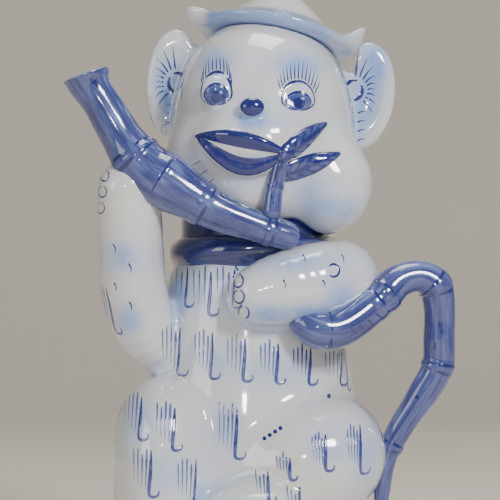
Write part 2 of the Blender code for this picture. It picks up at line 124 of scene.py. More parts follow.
def stack(table):
    """A body of stacked horizontal ellipses: rows of height, centre x, centre y, half width, half depth."""
    table = np.array(table, float)
    low, high = table[0, 0], table[-1, 0]

    def field(p):
        z = np.clip(p[..., 2], low, high)
        cx, cy, a, b = (np.interp(z, table[:, 0], table[:, i]) for i in range(1, 5))
        k = np.sqrt(((p[..., 0] - cx) / a) ** 2 + ((p[..., 1] - cy) / b) ** 2)
        side = (k - 1.0) * np.minimum(a, b)
        return np.maximum(side, np.abs(p[..., 2] - (low + high) / 2) - (high - low) / 2)

    return field


def half_space(point, outward):
    point, outward = np.array(point, float), np.array(outward, float)
    return lambda p: (p - point) @ outward


def blend(k, *forms):
    """The forms run together with fillets of size k."""

    def field(p):
        made = forms[0](p)
        for form in forms[1:]:
            other = form(p)
            h = np.maximum(k - np.abs(made - other), 0.0) / k
            made = np.minimum(made, other) - h * h * k * 0.25
        return made

    return field


def carve(form, *tools, k=0.8):
    """The form less the tools, its new edges rounded by k."""

    def field(p):
        made = form(p)
        for tool in tools:
            other = -tool(p)
            h = np.maximum(k - np.abs(made - other), 0.0) / k
            made = np.maximum(made, other) + h * h * k * 0.25
        return made

    return field


def turned(axis, degrees):
    return np.array(Matrix.Rotation(math.radians(degrees), 3, axis))


def smooth_line(points, steps=6):
    """A Catmull-Rom curve through rows of numbers."""
    rows = np.array(points, float)
    rows = np.vstack([2 * rows[0] - rows[1], rows, 2 * rows[-1] - rows[-2]])
    made = []
    for i in range(1, len(rows) - 2):
        a, b, c, d = rows[i - 1 : i + 3]
        for t in np.arange(steps) / steps:
            bend = (2 * a - 5 * b + 4 * c - d) * t**2 + (3 * b - a - 3 * c + d) * t**3
            made.append(0.5 * (2 * b + (c - a) * t + bend))
    made.append(rows[-2])
    return np.array(made)


# ---------------------------------------------------------------- from a field to a mesh
CORNERS = np.array([(i, j, k) for i in (0, 1) for j in (0, 1) for k in (0, 1)])
EDGES = [(a, b) for a in range(8) for b in range(a + 1, 8) if abs(CORNERS[a] - CORNERS[b]).sum() == 1]


def skin(field, low, high, step):
    """The zero surface of the field inside a box, as points and quads facing outwards (surface nets)."""
    low, high = np.array(low) - 2.5 * step, np.array(high) + 2.5 * step
    axes = [np.arange(low[i], high[i] + step, step) for i in range(3)]
    grid = np.empty([len(axis) for axis in axes], np.float32)
    for i, x in enumerate(axes[0]):
        p = np.empty((len(axes[1]), len(axes[2]), 3))
        p[..., 0], p[..., 1], p[..., 2] = x, axes[1][:, None], axes[2][None, :]
        grid[i] = field(p)
    inside = grid < 0
    views = [inside[tuple(slice(side, side - 1 or None) for side in corner)] for corner in CORNERS]
    filled = sum(view.astype(np.int8) for view in views)
    cells = np.argwhere((filled > 0) & (filled < 8))
    number = np.full(filled.shape, -1, np.int32)
    number[tuple(cells.T)] = np.arange(len(cells))
    values = np.stack([grid[tuple((cells + corner).T)] for corner in CORNERS], 1)
    total, hits = np.zeros((len(cells), 3)), np.zeros(len(cells))
    for a, b in EDGES:
        crossed = (values[:, a] < 0) != (values[:, b] < 0)
        gap = np.where(crossed, values[:, a] - values[:, b], 1.0)
        t = values[:, a] / gap
        point = CORNERS[a] + t[:, None] * (CORNERS[b] - CORNERS[a])
        total += np.where(crossed[:, None], point, 0.0)
        hits += crossed
    points = low + (cells + total / hits[:, None]) * step
    quads = []
    for axis in range(3):
        u, v = (axis + 1) % 3, (axis + 2) % 3
        here, ahead = [slice(1, -1)] * 3, [slice(1, -1)] * 3
        here[axis], ahead[axis] = slice(0, -1), slice(1, None)
        start, end = inside[tuple(here)], inside[tuple(ahead)]
        for flip in (False, True):
            found = np.argwhere(end & ~start if flip else start & ~end)
            found[:, u] += 1
            found[:, v] += 1
            ring = []
            for du, dv in ((0, 0), (-1, 0), (-1, -1), (0, -1)):
                cell = found.copy()
                cell[:, u] += du
                cell[:, v] += dv
                ring.append(number[tuple(cell.T)])
            ring = np.stack(ring, 1)
            quads.append(ring[:, ::-1] if flip else ring)
    quads = np.concatenate(quads)
    return points, quads[(quads >= 0).all(1)]


def slope(field, p, e=0.05):
    return np.stack([field(p + s) - field(p - s) for s in np.eye(3) * e], -1) / (2 * e)


def settle(field, p, rounds=3, most=0.6):
    """Moves points onto the zero surface."""
    for _ in range(rounds):
        value, uphill = field(p), slope(field, p)
        move = -(value / np.maximum((uphill * uphill).sum(-1), 0.2))[:, None] * uphill
        size = np.linalg.norm(move, axis=1, keepdims=True)
        p = p + move * np.minimum(1.0, most / np.maximum(size, 1e-9))
    return p


def make(name, points, faces, body, nodes=(), colour=None, grain=None, material=None, smooth=True):
    """A piece from points in millimetres from HOME, riding on a body and standing for its CAD nodes."""
    mesh = bpy.data.meshes.new(name)
    mesh.from_pydata(((np.array(points) + HOME) * MM).tolist(), [], [list(map(int, face)) for face in faces])
    if colour is not None:
        data = np.ones((len(points), 4), np.float32)
        data[:, :3] = colour
        mesh.attributes.new("paint", "FLOAT_COLOR", "POINT").data.foreach_set("color", data.ravel())
    if grain is not None:
        layer = mesh.attributes.new("grain", "FLOAT_VECTOR", "POINT")
        layer.data.foreach_set("vector", np.array(grain, np.float32).ravel())
    mesh.update()
    if smooth:
        mesh.shade_smooth()
    if material is not None:
        mesh.materials.append(material)
    obj = bpy.data.objects.new(name, mesh)
    bpy.context.scene.collection.objects.link(obj)
    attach(obj, body)
    if nodes:
        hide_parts(*nodes)
    return obj


# ---------------------------------------------------------------- materials
class Graph:
    """A material with one Principled BSDF and short ways to add the nodes that feed it."""

    def __init__(self, name):
        self.material = bpy.data.materials.new(name)
        self.material.use_nodes = True
        self.tree = self.material.node_tree
        self.shader = self.tree.nodes["Principled BSDF"]

    def link(self, value, socket):
        if hasattr(value, "is_output"):
            self.tree.links.new(value, socket)
        elif isinstance(value, tuple):
            socket.default_value = (*value, 1.0)[: len(socket.default_value)]
        else:
            socket.default_value = value

    def node(self, kind, inputs=None, out=0, **settings):
        made = self.tree.nodes.new(kind)
        for key, value in settings.items():
            setattr(made, key, value)
        for key, value in (inputs or {}).items():
            self.link(value, made.inputs[key])
        return made.outputs[out]

    def mix(self, factor, first, second):
        made = self.tree.nodes.new("ShaderNodeMix")
        made.data_type = "RGBA"
        self.link(factor, made.inputs["Factor"])
        self.link(first, made.inputs["A"])
        self.link(second, made.inputs["B"])
        return made.outputs["Result"]

    def maths(self, operation, first, second=0.0, clamp=False):
        made = self.tree.nodes.new("ShaderNodeMath")
        made.operation = operation
        made.use_clamp = clamp
        self.link(first, made.inputs[0])
        self.link(second, made.inputs[1])
        return made.outputs[0]

    def noise(self, scale, vector=None, detail=3.0, rough=0.5):
        inputs = {"Scale": scale, "Detail": detail, "Roughness": rough}
        inputs["Vector"] = vector if vector is not None else self.node("ShaderNodeTexCoord", out="Object")
        return self.node("ShaderNodeTexNoise", inputs, out="Fac")

    def band(self, value, low, high):
        """0 below low, 1 above high and a smooth step between."""
        inputs = {"Value": value, "From Min": low, "From Max": high}
        return self.node("ShaderNodeMapRange", inputs, interpolation_type="SMOOTHSTEP")

    def paint(self):
        split = self.tree.nodes.new("ShaderNodeSeparateColor")
        self.link(self.node("ShaderNodeAttribute", out="Color", attribute_name="paint"), split.inputs[0])
        return split.outputs

    def glaze(self, colour, rough=0.1, bumps=0.05, coat=1.0):
        """Clear glossy glaze over the colour, with the faint waves and pinholes of a dipped pot."""
        waves = self.noise(90.0, detail=2.0)
        grit = self.noise(1500.0, detail=2.0)
        height = self.maths("ADD", waves, self.maths("MULTIPLY", grit, 0.03))
        bump = self.node("ShaderNodeBump", {"Strength": bumps, "Distance": 0.002, "Height": height})
        smudge = self.band(self.noise(38.0, detail=5.0), 0.35, 0.75)
        self.link(colour, self.shader.inputs["Base Color"])
        uneven = self.maths("ADD", self.maths("MULTIPLY", smudge, 0.05), rough)
        self.link(uneven, self.shader.inputs["Roughness"])
        self.link(bump, self.shader.inputs["Normal"])
        self.link(bump, self.shader.inputs["Coat Normal"])
        self.shader.inputs["Coat Weight"].default_value = coat
        self.shader.inputs["Coat Roughness"].default_value = 0.035
        self.shader.inputs["IOR"].default_value = 1.5
        return self.material


WHITE = (0.70, 0.72, 0.76)
CREAM = (0.72, 0.70, 0.66)
WASH = (0.27, 0.42, 0.80)
COBALT = (0.012, 0.018, 0.16)


def porcelain():
    """White glaze: paint r is pale-blue wash together with painted shade in the creases, g is a second deeper
    wash, b is bare fired clay.
    """
    graph = Graph("white_porcelain")
    washes = graph.paint()
    tint = graph.mix(graph.band(graph.noise(26.0), 0.35, 0.7), WHITE, CREAM)
    streaks = graph.noise(230.0, detail=4.0, rough=0.65)
    pale = graph.maths("MULTIPLY", washes[0], graph.maths("ADD", streaks, 0.6), clamp=True)
    tint = graph.mix(pale, tint, WASH)
    deep = graph.maths("MULTIPLY", washes[1], graph.maths("ADD", streaks, 0.7), clamp=True)
    tint = graph.mix(deep, tint, COBALT)
    specks = graph.band(graph.noise(900.0, detail=1.0), 0.76, 0.80)
    tint = graph.mix(graph.maths("MULTIPLY", specks, 0.30), tint, (0.30, 0.33, 0.42))
    clay = graph.mix(graph.noise(700.0), (0.62, 0.57, 0.50), (0.70, 0.66, 0.60))
    tint = graph.mix(washes[2], tint, clay)
    made = graph.glaze(tint)
    bare = graph.maths("SUBTRACT", 1.0, washes[2], clamp=True)
    graph.link(bare, graph.shader.inputs["Coat Weight"])
    return made


def brushed():
    """Cobalt under glaze: paint r is how heavy the colour lies, g shifts it towards a pale wash."""
    graph = Graph("cobalt_brushwork")
    load = graph.paint()
    cloud = graph.noise(420.0, detail=4.0, rough=0.6)
    patchy = graph.maths("MULTIPLY", graph.maths("SUBTRACT", cloud, 0.5), 0.8)
    heavy = graph.band(graph.maths("ADD", load[0], patchy), 0.15, 0.85)
    tint = graph.mix(heavy, (0.17, 0.235, 0.52), COBALT)
    tint = graph.mix(load[1], tint, WASH)
    return graph.glaze(tint, rough=0.12)


def bamboo():
    """Grey-blue bamboo: paint r is dark rings and ticks, g is a painted highlight that lightens the tops, b
    is the white inside of the spout.
    """
    graph = Graph("bamboo_blue")
    load = graph.paint()
    grain = graph.node("ShaderNodeAttribute", out="Vector", attribute_name="grain")
    fibre = graph.noise(1.9, grain, detail=5.0, rough=0.55)
    cloud = graph.noise(70.0, detail=3.0)
    tone = graph.maths("ADD", graph.maths("MULTIPLY", fibre, 0.75), graph.maths("MULTIPLY", cloud, 0.35))
    tint = graph.mix(graph.band(tone, 0.36, 0.76), (0.030, 0.038, 0.17), (0.098, 0.125, 0.35))
    # Painted highlight: paint g pushes the tone towards the pale blue.
    tint = graph.mix(graph.band(graph.maths("ADD", tone, load[1]), 0.72, 1.05), tint, (0.25, 0.32, 0.62))
    edge = graph.maths("ADD", load[0], graph.maths("MULTIPLY", graph.maths("SUBTRACT", fibre, 0.5), 0.5))
    tint = graph.mix(graph.band(edge, 0.35, 0.62), tint, (0.014, 0.022, 0.15))
    tint = graph.mix(load[2], tint, (0.62, 0.64, 0.66))
    return graph.glaze(tint, rough=0.13)


def hat_glaze():
    """Pale-blue band over cream: paint r is the band's strength."""
    graph = Graph("pale_blue_band")
    load = graph.paint()
    cloud = graph.noise(120.0, detail=5.0, rough=0.6)
    patchy = graph.maths("ADD", graph.maths("MULTIPLY", cloud, 0.7), 0.75)
    strength = graph.maths("MULTIPLY", load[0], patchy, clamp=True)
    tint = graph.mix(strength, (0.79, 0.79, 0.76), (0.26, 0.38, 0.71))
    tint = graph.mix(load[1], tint, COBALT)
    return graph.glaze(tint, rough=0.1)


PORCELAIN, BRUSH, BAMBOO, HAT_BLUE = porcelain(), brushed(), bamboo(), hat_glaze()

# ---------------------------------------------------------------- the cub's body
TORSO = (
    # height, centre x, centre y, half width, half depth
    (0.0, 0.0, 2.0, 40.0, 36.5), (1.2, 0.0, 2.0, 41.6, 38.0), (6.0, 0.0, 2.0, 43.2, 39.6),
    (14.0, 0.0, 2.0, 44.5, 41.0), (32.0, 0.0, 2.0, 45.5, 42.5), (42.0, 0.0, 1.8, 45.0, 42.2),
    (52.0, 0.0, 1.5, 44.0, 41.5), (61.0, 0.0, 1.2, 42.4, 40.2), (70.0, 0.0, 1.0, 40.5, 38.5),
    (85.0, 0.0, 0.5, 37.8, 36.0), (100.0, 0.5, 0.5, 35.5, 34.0), (112.0, 1.0, 0.0, 33.0, 31.5),
    (120.0, 1.5, 0.0, 30.5, 29.0), (126.0, 2.0, 0.0, 29.0, 27.5),
)
KNEE = (
    # height above the foot of the leg, shift back, half width, half depth
    (0.0, 0.0, 17.5, 23.0), (3.4, 0.0, 18.4, 25.0), (8.4, 0.0, 19.0, 26.0), (17.4, 0.0, 19.4, 26.7),
    (27.4, 0.0, 19.6, 27.0), (44.4, 0.0, 19.5, 27.0), (50.4, 0.2, 19.2, 26.4), (55.4, 0.5, 18.6, 25.5),
    (59.9, 0.8, 17.7, 24.2), (63.4, 1.0, 16.3, 22.5), (66.9, 1.3, 14.5, 20.2), (69.4, 1.5, 12.8, 17.5),
    (71.8, 1.8, 10.2, 14.0), (73.4, 2.0, 7.6, 10.5), (75.0, 2.0, 3.0, 4.2),
)


def upright_leg():
    """The rings of the upright leg, from the outer, front and lowest side of its box."""
    x, y, z = box_mm("leg_spout_side")[0] - HOME + (19.6, 26.7, 0.0)
    return stack([(z + up, x, y + back, wide, deep) for up, back, wide, deep in KNEE])


ARM_SPOUT = smooth_line(offset_from("arm_spout_side", (
    (9.0, 11.4, -31.6, 9.0), (2.4, 7.4, -20.6, 12.2), (-1.4, 2.4, -5.6, 12.6), (-2.0, -3.6, 10.4, 12.2),
    (-2.6, -7.6, 24.4, 12.2), (-3.6, -9.1, 30.9, 11.0))), 3)
ARM_HANDLE = smooth_line(offset_from("arm_handle_side", (
    (13.4, 5.4, 1.0, 15.0), (3.4, -1.6, -0.5, 15.4), (-8.6, -6.6, -2.5, 13.6), (-17.1, -9.1, -4.5, 11.2))), 3)

trunk = blend(
    5.0,
    stack(TORSO),
    upright_leg(),
    ellipsoid(middle_of("leg_handle_side") + (-3.6, 4.6, -1.2), (31.5, 28.0, 26.0), turned("Y", -24)),
)
feet = blend(
    3.0,
    ellipsoid(middle_of("foot_spout_side") + (0.4, 5.0, -0.5), (15.0, 21.0, 12.0)),
    ellipsoid(middle_of("foot_handle_side") + (-0.2, 4.4, -0.8), (25.0, 19.0, 19.4), turned("Y", -12)),
)
NECK_PLANE = (box_mm("head_shell")[0] - HOME)[2]  # where the head is luted on
NECK_X, NECK_Y = middle_of("neck_scarf")[:2]
BORE = 24.0  # half width of the way through the neck
neck_end = half_space((0, 0, NECK_PLANE - 0.15), (0, 0, -1))
cavity = blend(
    8.0,
    ellipsoid(middle_of("torso_shell") + (0.0, 0.0, -4.9), (36.5, 33.5, 52.0)),
    rod(((NECK_X - 1.0, NECK_Y, NECK_PLANE - 56.15, BORE), (NECK_X, NECK_Y, NECK_PLANE + 13.85, BORE))),
)
outer_body = blend(3.5, carve(trunk, neck_end), feet, rod(ARM_SPOUT), rod(ARM_HANDLE))


def body_form(p):
    """The body with its flat foot and its hollow, open at the neck."""
    return np.maximum(np.maximum(outer_body(p), -p[..., 2]), -cavity(p))


# ---------------------------------------------------------------- the head
lid_axis = np.array(frame["joints"][0]["axis"], float)
lid_axis /= np.linalg.norm(lid_axis)
seat = middle_of("lid_flange") + lid_axis * 4.5  # the flange hangs 9 mm below the seat
LID_PATH_RADIUS, MOUTH_RADIUS, THROAT_DEPTH = 32.6, 19.0, 20.0
skull_at = middle_of("head_shell")
skull = blend(
    9.0,
    ellipsoid(skull_at + (-1.9, 3.0, 4.1), (35.5, 39.5, 42.5)),
    ellipsoid(skull_at + (21.9, -12.0, -19.4), (18.5, 18.5, 19.5)),
    ellipsoid(skull_at + (-21.9, -10.0, -13.4), (18.5, 20.0, 18.5)),
    ellipsoid(skull_at + (-6.4, -16.5, -19.9), (18.5, 18.5, 17.0)),
    ellipsoid(skull_at + (-5.4, -29.5, -3.4), (19.0, 13.0, 11.0)),
)
neck = stack((
    (NECK_PLANE, NECK_X, NECK_Y, 29.0, 27.5), (NECK_PLANE + 25.85, NECK_X + 1.0, NECK_Y, 29.5, 28.0)))
EYES = (
    # share across and up the head, half width, height above and below the middle, spread and count of lashes
    (0.257, 0.668, 5.9, 8.6, 4.5, -1.6, 11),
    (0.640, 0.637, 6.2, 7.4, 3.9, 4.6, 13),
)


def eye_bulge(across, up):
    x, z = share_of("head_shell", across, up)
    return ellipsoid((x, middle_of("head_shell")[1] - 29.4, z + 1.0), (6.2, 4.6, 6.5))


eyes = blend(1.0, *(eye_bulge(*eye[:2]) for eye in EYES))


def mouth_line(rise, start=0.0, end=1.0, count=9):
    """A bow between the corners of the mouth, rising or dropping in its middle."""
    left, right = share_of("head_shell", 0.165, 0.479), share_of("head_shell", 0.582, 0.396)
    shares = np.linspace(start, end, count)[:, None]
    return left + (right - left) * shares + np.array([0.0, rise]) * np.sin(math.pi * shares)


UPPER_BOW, LOWER_BOW = 3.0, -9.4


def on_face(form, x, z):
    """The first point of the form met from in front at x, z."""
    return cast(form, np.array([[x, -110.0, z]]), np.array([0.0, 1.0, 0.0]))[0]


def cast(form, start, way, far=150.0):
    """Where rays from the start points along way first meet the form; nan where they miss."""
    p, gone = np.array(start, float), np.zeros(len(start))
    for _ in range(60):
        away = form(p)
        if (np.abs(away) < 0.02).all():
            break
        step = np.clip(away, -2.0, 14.0) * 0.9
        p = p + step[:, None] * way
        gone += step
    p[(gone > far) | (np.abs(form(p)) > 0.3)] = np.nan
    return p


face = blend(2.0, skull, eyes)


def lip_rod(line, thick):
    """A lip laid along x, z places on the face, thickest in its middle."""
    rows = []
    for i, (x, z) in enumerate(line):
        radius = thick * (0.35 + 0.65 * math.sin(math.pi * i / (len(line) - 1)) ** 0.6)
        met = on_face(face, x, z)
        rows.append((met[0], met[1] + radius * 0.35, met[2], radius))
    return rod(rows)


lips = blend(1.0, lip_rod(mouth_line(UPPER_BOW), 2.0), lip_rod(mouth_line(LOWER_BOW), 2.7))
nose = ellipsoid(skull_at + (-6.1, -40.2, 8.6), (5.0, 3.6, 3.9))
EAR_SHAPES = (
    (middle_of("ear_spout_side") + (0.9, -0.4, 0.0), (11.5, 4.2, 21.5), 3.0),
    (middle_of("ear_handle_side") + (-1.6, -0.4, 0.0), (12.5, 4.2, 21.5), 9.0),
)
ears = []
for centre, radii, roll in EAR_SHAPES:
    plate = ellipsoid(centre, radii, turned("Y", roll))
    dish = ellipsoid(
        (centre[0], centre[1] - radii[1] - 0.6, centre[2]),
        (radii[0] * 0.7, radii[1] * 0.9, radii[2] * 0.76),
        turned("Y", roll),
    )
    ears.append(carve(plate, dish, k=2.5))


def off_axis(p):
    q = p - seat
    along = q @ lid_axis
    return along, np.sqrt(np.maximum((q * q).sum(-1) - along**2, 0.0))


def outer_head(p):
    """The head as it is seen: skull cut level for the hat, nose, lips, ears clear of the hat's way off."""
    along, radius = off_axis(p)

    def level_skull(_):
        return np.maximum(face_with_nose(p), along)

    def clear_ears(_):
        return np.maximum(blend(1.0, *ears)(p), np.minimum(LID_PATH_RADIUS - radius, along + 4.0))

    return blend(3.0, level_skull, clear_ears)(p)


face_with_nose = blend(1.2, blend(2.0, face, lips), nose, neck)
hollow = blend(
    4.0,
    ellipsoid(skull_at + (-1.9, 3.0, 4.1), (31.7, 35.7, 38.7)),
    ellipsoid(skull_at + (-6.4, -13.0, -18.4), (15.0, 15.0, 14.0)),
    rod(((NECK_X, NECK_Y, NECK_PLANE - 16.15, BORE), (NECK_X + 1.0, NECK_Y, NECK_PLANE + 23.85, BORE))),
)


def head_form(p):
    """The head with its hollow, its filler mouth above and its neck below."""
    along, radius = off_axis(p)

    def solid(_):
        return np.maximum(outer_head(p), NECK_PLANE - p[..., 2])

    def inside(_):
        return np.minimum(hollow(p), np.maximum(radius - MOUTH_RADIUS, -THROAT_DEPTH - along))

    return carve(solid, inside, k=1.2)(p)


# ---------------------------------------------------------------- washes painted softly on the white
def spots(points, normals, washes):
    """How much of a soft wash lies at each point in front. Each node has rows of share across and up its box,
    half width, half height and strength."""
    total = np.zeros(len(points))
    for node, rows in washes.items():
        for across, up, wide, tall, strength in rows:
            x, z = share_of(node, across, up)
            away = ((points[:, 0] - x) / wide) ** 2 + ((points[:, 2] - z) / tall) ** 2
            total += strength * np.exp(-away * 1.4) * np.clip(-normals[:, 1] * 2.0, 0.0, 1.0)
    return np.clip(total, 0.0, 1.0)


FACE_WASH = {
    "head_shell": (
        (0.25, 0.83, 9.5, 6.0, 0.75), (0.25, 0.69, 9.5, 9.5, 0.25), (0.64, 0.80, 12.0, 6.5, 0.85),
        (0.64, 0.65, 9.5, 9.0, 0.25), (0.42, 0.54, 6.5, 3.6, 1.0), (0.54, 0.53, 9.0, 5.0, 0.35),
        (0.38, 0.26, 12.0, 4.5, 0.4), (0.79, 0.15, 17.0, 7.0, 0.75), (0.69, 0.25, 9.0, 7.0, 0.6),
        (0.12, 0.24, 7.0, 7.0, 0.35), (0.44, 0.37, 8.0, 2.6, 0.6),
    ),
    "ear_spout_side": ((0.37, 0.48, 6.5, 15.0, 0.6),),
    "ear_handle_side": ((0.63, 0.81, 7.5, 10.0, 1.0), (0.49, 0.41, 6.0, 15.0, 0.6)),
}
BODY_WASH = {
    "arm_spout_side": ((0.41, 0.27, 5.5, 6.5, 1.0), (0.33, 0.57, 5.5, 7.0, 0.55)),
    "arm_handle_side": (
        (0.53, 0.12, 13.0, 5.0, 1.0), (0.74, 0.33, 7.0, 7.0, 0.85), (0.24, 0.12, 7.0, 5.0, 0.8),
        (0.46, 0.71, 12.0, 5.0, 0.45),
    ),
    "torso_shell": (
        (0.30, 0.84, 12.0, 8.0, 0.45), (0.34, 0.65, 12.0, 8.0, 0.45), (0.61, 0.62, 15.0, 8.0, 0.45),
        (0.40, 0.45, 8.0, 9.0, 0.5),
    ),
    "leg_spout_side": ((0.31, 0.79, 7.0, 9.0, 0.5), (0.61, 0.53, 10.0, 8.0, 0.45)),
    "leg_handle_side": ((0.59, 0.63, 12.0, 8.0, 0.45), (0.85, 0.52, 7.0, 14.0, 0.5)),
    "foot_spout_side": ((0.51, 0.62, 12.0, 6.0, 0.6),),
    "foot_handle_side": ((0.50, 0.48, 18.0, 8.0, 0.5),),
}


def washed(name, form, low, high, step, washes, nodes):
    """A glazed skin over the form, with its washes, painted blue shade in its creases and its bare foot."""
    points, quads = skin(form, low, high, step)
    points = settle(form, points)
    normals = slope(form, points)
    normals /= np.maximum(np.linalg.norm(normals, axis=1, keepdims=True), 1e-6)
    across, back, up = points.T
    colour = np.zeros((len(points), 3))
    reach = 5.0
    # Painted shade: blue laid into the creases, wherever a point a few millimetres out from the surface is
    # still close to the form.
    painted_crease_shade = np.clip((0.80 - form(points + normals * reach) / reach) * 0.9, 0.0, 0.5)
    seam = np.exp(-(((up - NECK_PLANE + 6.15) / 6.0) ** 2)) * 0.25
    colour[:, 0] = np.clip(spots(points, normals, washes) + painted_crease_shade + seam, 0.0, 1.0)
    # Cobalt round the front of the neck, between the scarf and the stalk.
    ring = np.sqrt(((across - NECK_X - 1.0) / 29.5) ** 2 + ((back - NECK_Y) / 28.0) ** 2)
    below = np.clip((NECK_PLANE + 11.85 - up) / 3.0, 0.0, 1.0) * (up > NECK_PLANE - 2.15)
    colour[:, 1] = below * np.clip((1.10 - ring) / 0.05, 0.0, 1.0) * (ring > 0.9)
    colour[:, 1] *= np.clip(0.6 - back / 18.0, 0.0, 1.0)
    colour[:, 2] = np.clip(1.0 - up / 0.5, 0.0, 1.0)
    return make(name, points, quads, "pot", nodes, colour, None, PORCELAIN)


# The two skins are meshed inside boxes a few millimetres larger than their forms.
STEP = 1.2
washed("cub_body", body_form, (-60, -70, -2), (60, 46, 158), STEP, BODY_WASH, tuple(BODY_WASH))
washed("cub_head", head_form, (-43, -50, 125), (60, 41, 212), STEP * 0.85, FACE_WASH, tuple(FACE_WASH))


# ---------------------------------------------------------------- round things: bamboo, scarf, hat
def sweep(rows, directions, ring):
    """Rings of points round a path: rows of x, y, z, radius, with the direction of the path at each."""
    points, normals = [], []
    across = np.array([0.0, 1.0, 0.1])
    for row, direction in zip(rows, directions):
        direction = direction / np.linalg.norm(direction)
        across = across - direction * (across @ direction)
        across /= np.linalg.norm(across)
        other = np.cross(direction, across)
        for angle in ring:
            spoke = across * math.cos(angle) + other * math.sin(angle)
            points.append(row[:3] + spoke * row[3])
            normals.append(spoke)
    return np.array(points), np.array(normals)


def quads_round(rows, ring, closed=False):
    faces = []
    for i in range(rows if closed else rows - 1):
        k = (i + 1) % rows
        for j in range(ring):
            n = (j + 1) % ring
            faces.append((i * ring + j, i * ring + n, k * ring + n, k * ring + j))
    return faces


def even_line(table, spacing, steps=16, room=3, least=1):
    """The smooth curve through the table at even steps, with the run of length at each. The first few numbers
    of a row, as many as room says, are its place."""
    dense = smooth_line(table, steps)
    runs = np.concatenate([[0.0], np.cumsum(np.linalg.norm(np.diff(dense[:, :room], axis=0), axis=1))])
    wanted = np.linspace(0.0, runs[-1], max(int(runs[-1] / spacing), least) + 1)
    return np.stack([np.interp(wanted, runs, column) for column in dense.T], 1), wanted


def nearest(line, x, z):
    return int(np.argmin((line[:, 0] - x) ** 2 + (line[:, 2] - z) ** 2))


def ticks_on(points, marks):
    """Short painted ticks: rows of x, z, dx, dz and width, seen from in front."""
    load = np.zeros(len(points))
    for x, z, dx, dz, width in marks:
        ab = np.array([dx, dz], float)
        q = points[:, [0, 2]] - (x, z)
        t = np.clip((q @ ab) / (ab @ ab), 0.0, 1.0)
        away = np.linalg.norm(q - t[:, None] * ab, axis=1)
        load = np.maximum(load, np.clip(1.4 - away / (width * (1.1 - 0.6 * t)), 0.0, 1.0))
    return load


def bamboo_rod(name, table, swellings, rings, marks, nodes, bore=None):
    """A bamboo rod. Swellings are x, z, height and half width; rings are x, z, half width of its dark painted
    rings. A bore gives it an open end with a rim and a white inside."""
    line, runs = even_line(table, 0.55)
    for x, z, height, half in swellings:
        away = runs - runs[nearest(line, x, z)]
        line[:, 3] += height * np.exp(-((away / half) ** 2))
        line[:, 3] -= 0.35 * height * np.exp(-((away / (half * 0.35)) ** 2))
    line[:, 3] += 0.12 * np.sin(runs * 0.31 + 1.0)
    ways = np.gradient(line[:, :3], axis=0)
    dark = np.zeros(len(line))
    for x, z, half in rings:
        away = np.abs(runs - runs[nearest(line, x, z)])
        dark = np.maximum(dark, np.clip(1.5 - away / half, 0.0, 1.0))

    # Each row is a place, radius, direction, darkness, whiteness and run of length.
    def dome(at, sign, degrees):
        """A rounded end beyond one end of the line."""
        way = ways[at] / np.linalg.norm(ways[at])
        place, radius, run = line[at, :3], line[at, 3], 0.0 if at == 0 else runs[-1]
        return [
            (place + sign * way * radius * 0.85 * math.sin(a), radius * math.cos(a), ways[at], 0.0, 0.0, run)
            for a in np.radians(degrees)
        ]

    def open_end():
        """A rounded lip, the bore behind it and the white floor that closes it."""
        end, thick, way = line[-1, :3], line[-1, 3] - bore, ways[-1] / np.linalg.norm(ways[-1])
        made = []
        for a in np.radians((20, 50, 80, 110, 140, 170)):
            radius = bore + thick * (0.5 + 0.5 * math.cos(a))
            made.append((end + way * 0.9 * math.sin(a), radius, ways[-1], 0.0, 0.35, runs[-1]))
        for i in range(len(line) - 2, max(len(line) - 64, 3), -3):
            made.append((line[i, :3], bore - 0.3, ways[i], 0.0, 1.0, runs[-1]))
        return made + [(made[-1][0], 0.05, *made[-1][2:])]

    rows = dome(0, -1, (80, 60, 40, 20))
    rows += [(row[:3], row[3], way, shade, 0.0, run) for row, way, shade, run in zip(line, ways, dark, runs)]
    rows += dome(-1, 1, (20, 40, 60, 80, 88)) if bore is None else open_end()
    places, radii, ways, dark, white, length = zip(*rows)
    spin = np.linspace(0.0, 2 * math.pi, 44, endpoint=False)
    points, spokes = sweep(np.column_stack([places, radii]), ways, spin)
    dark, white, length = (np.repeat(values, len(spin)) for values in (dark, white, length))
    around = np.tile(spin, len(rows))
    wobble = 0.8 + 0.35 * np.sin(around * 3.0 + length * 0.2) + 0.2 * np.sin(around * 7.0)
    facing = np.clip(0.5 - spokes[:, 1] * 2.0, 0.0, 1.0)
    # Painted highlight: paint g is higher where the bamboo faces up and forward, and lower where it faces
    # down.
    painted_top_highlight = np.clip(0.22 * spokes[:, 2] - 0.12 * spokes[:, 1], -0.2, 0.3)
    colour = np.column_stack([np.maximum(dark * wobble, ticks_on(points, marks) * facing), painted_top_highlight, white])
    grain = np.stack([np.cos(around) * 2.4, np.sin(around) * 2.4, length * 0.04], 1)
    return make(name, points, quads_round(len(rows), len(spin)), "pot", nodes, colour, grain, BAMBOO)


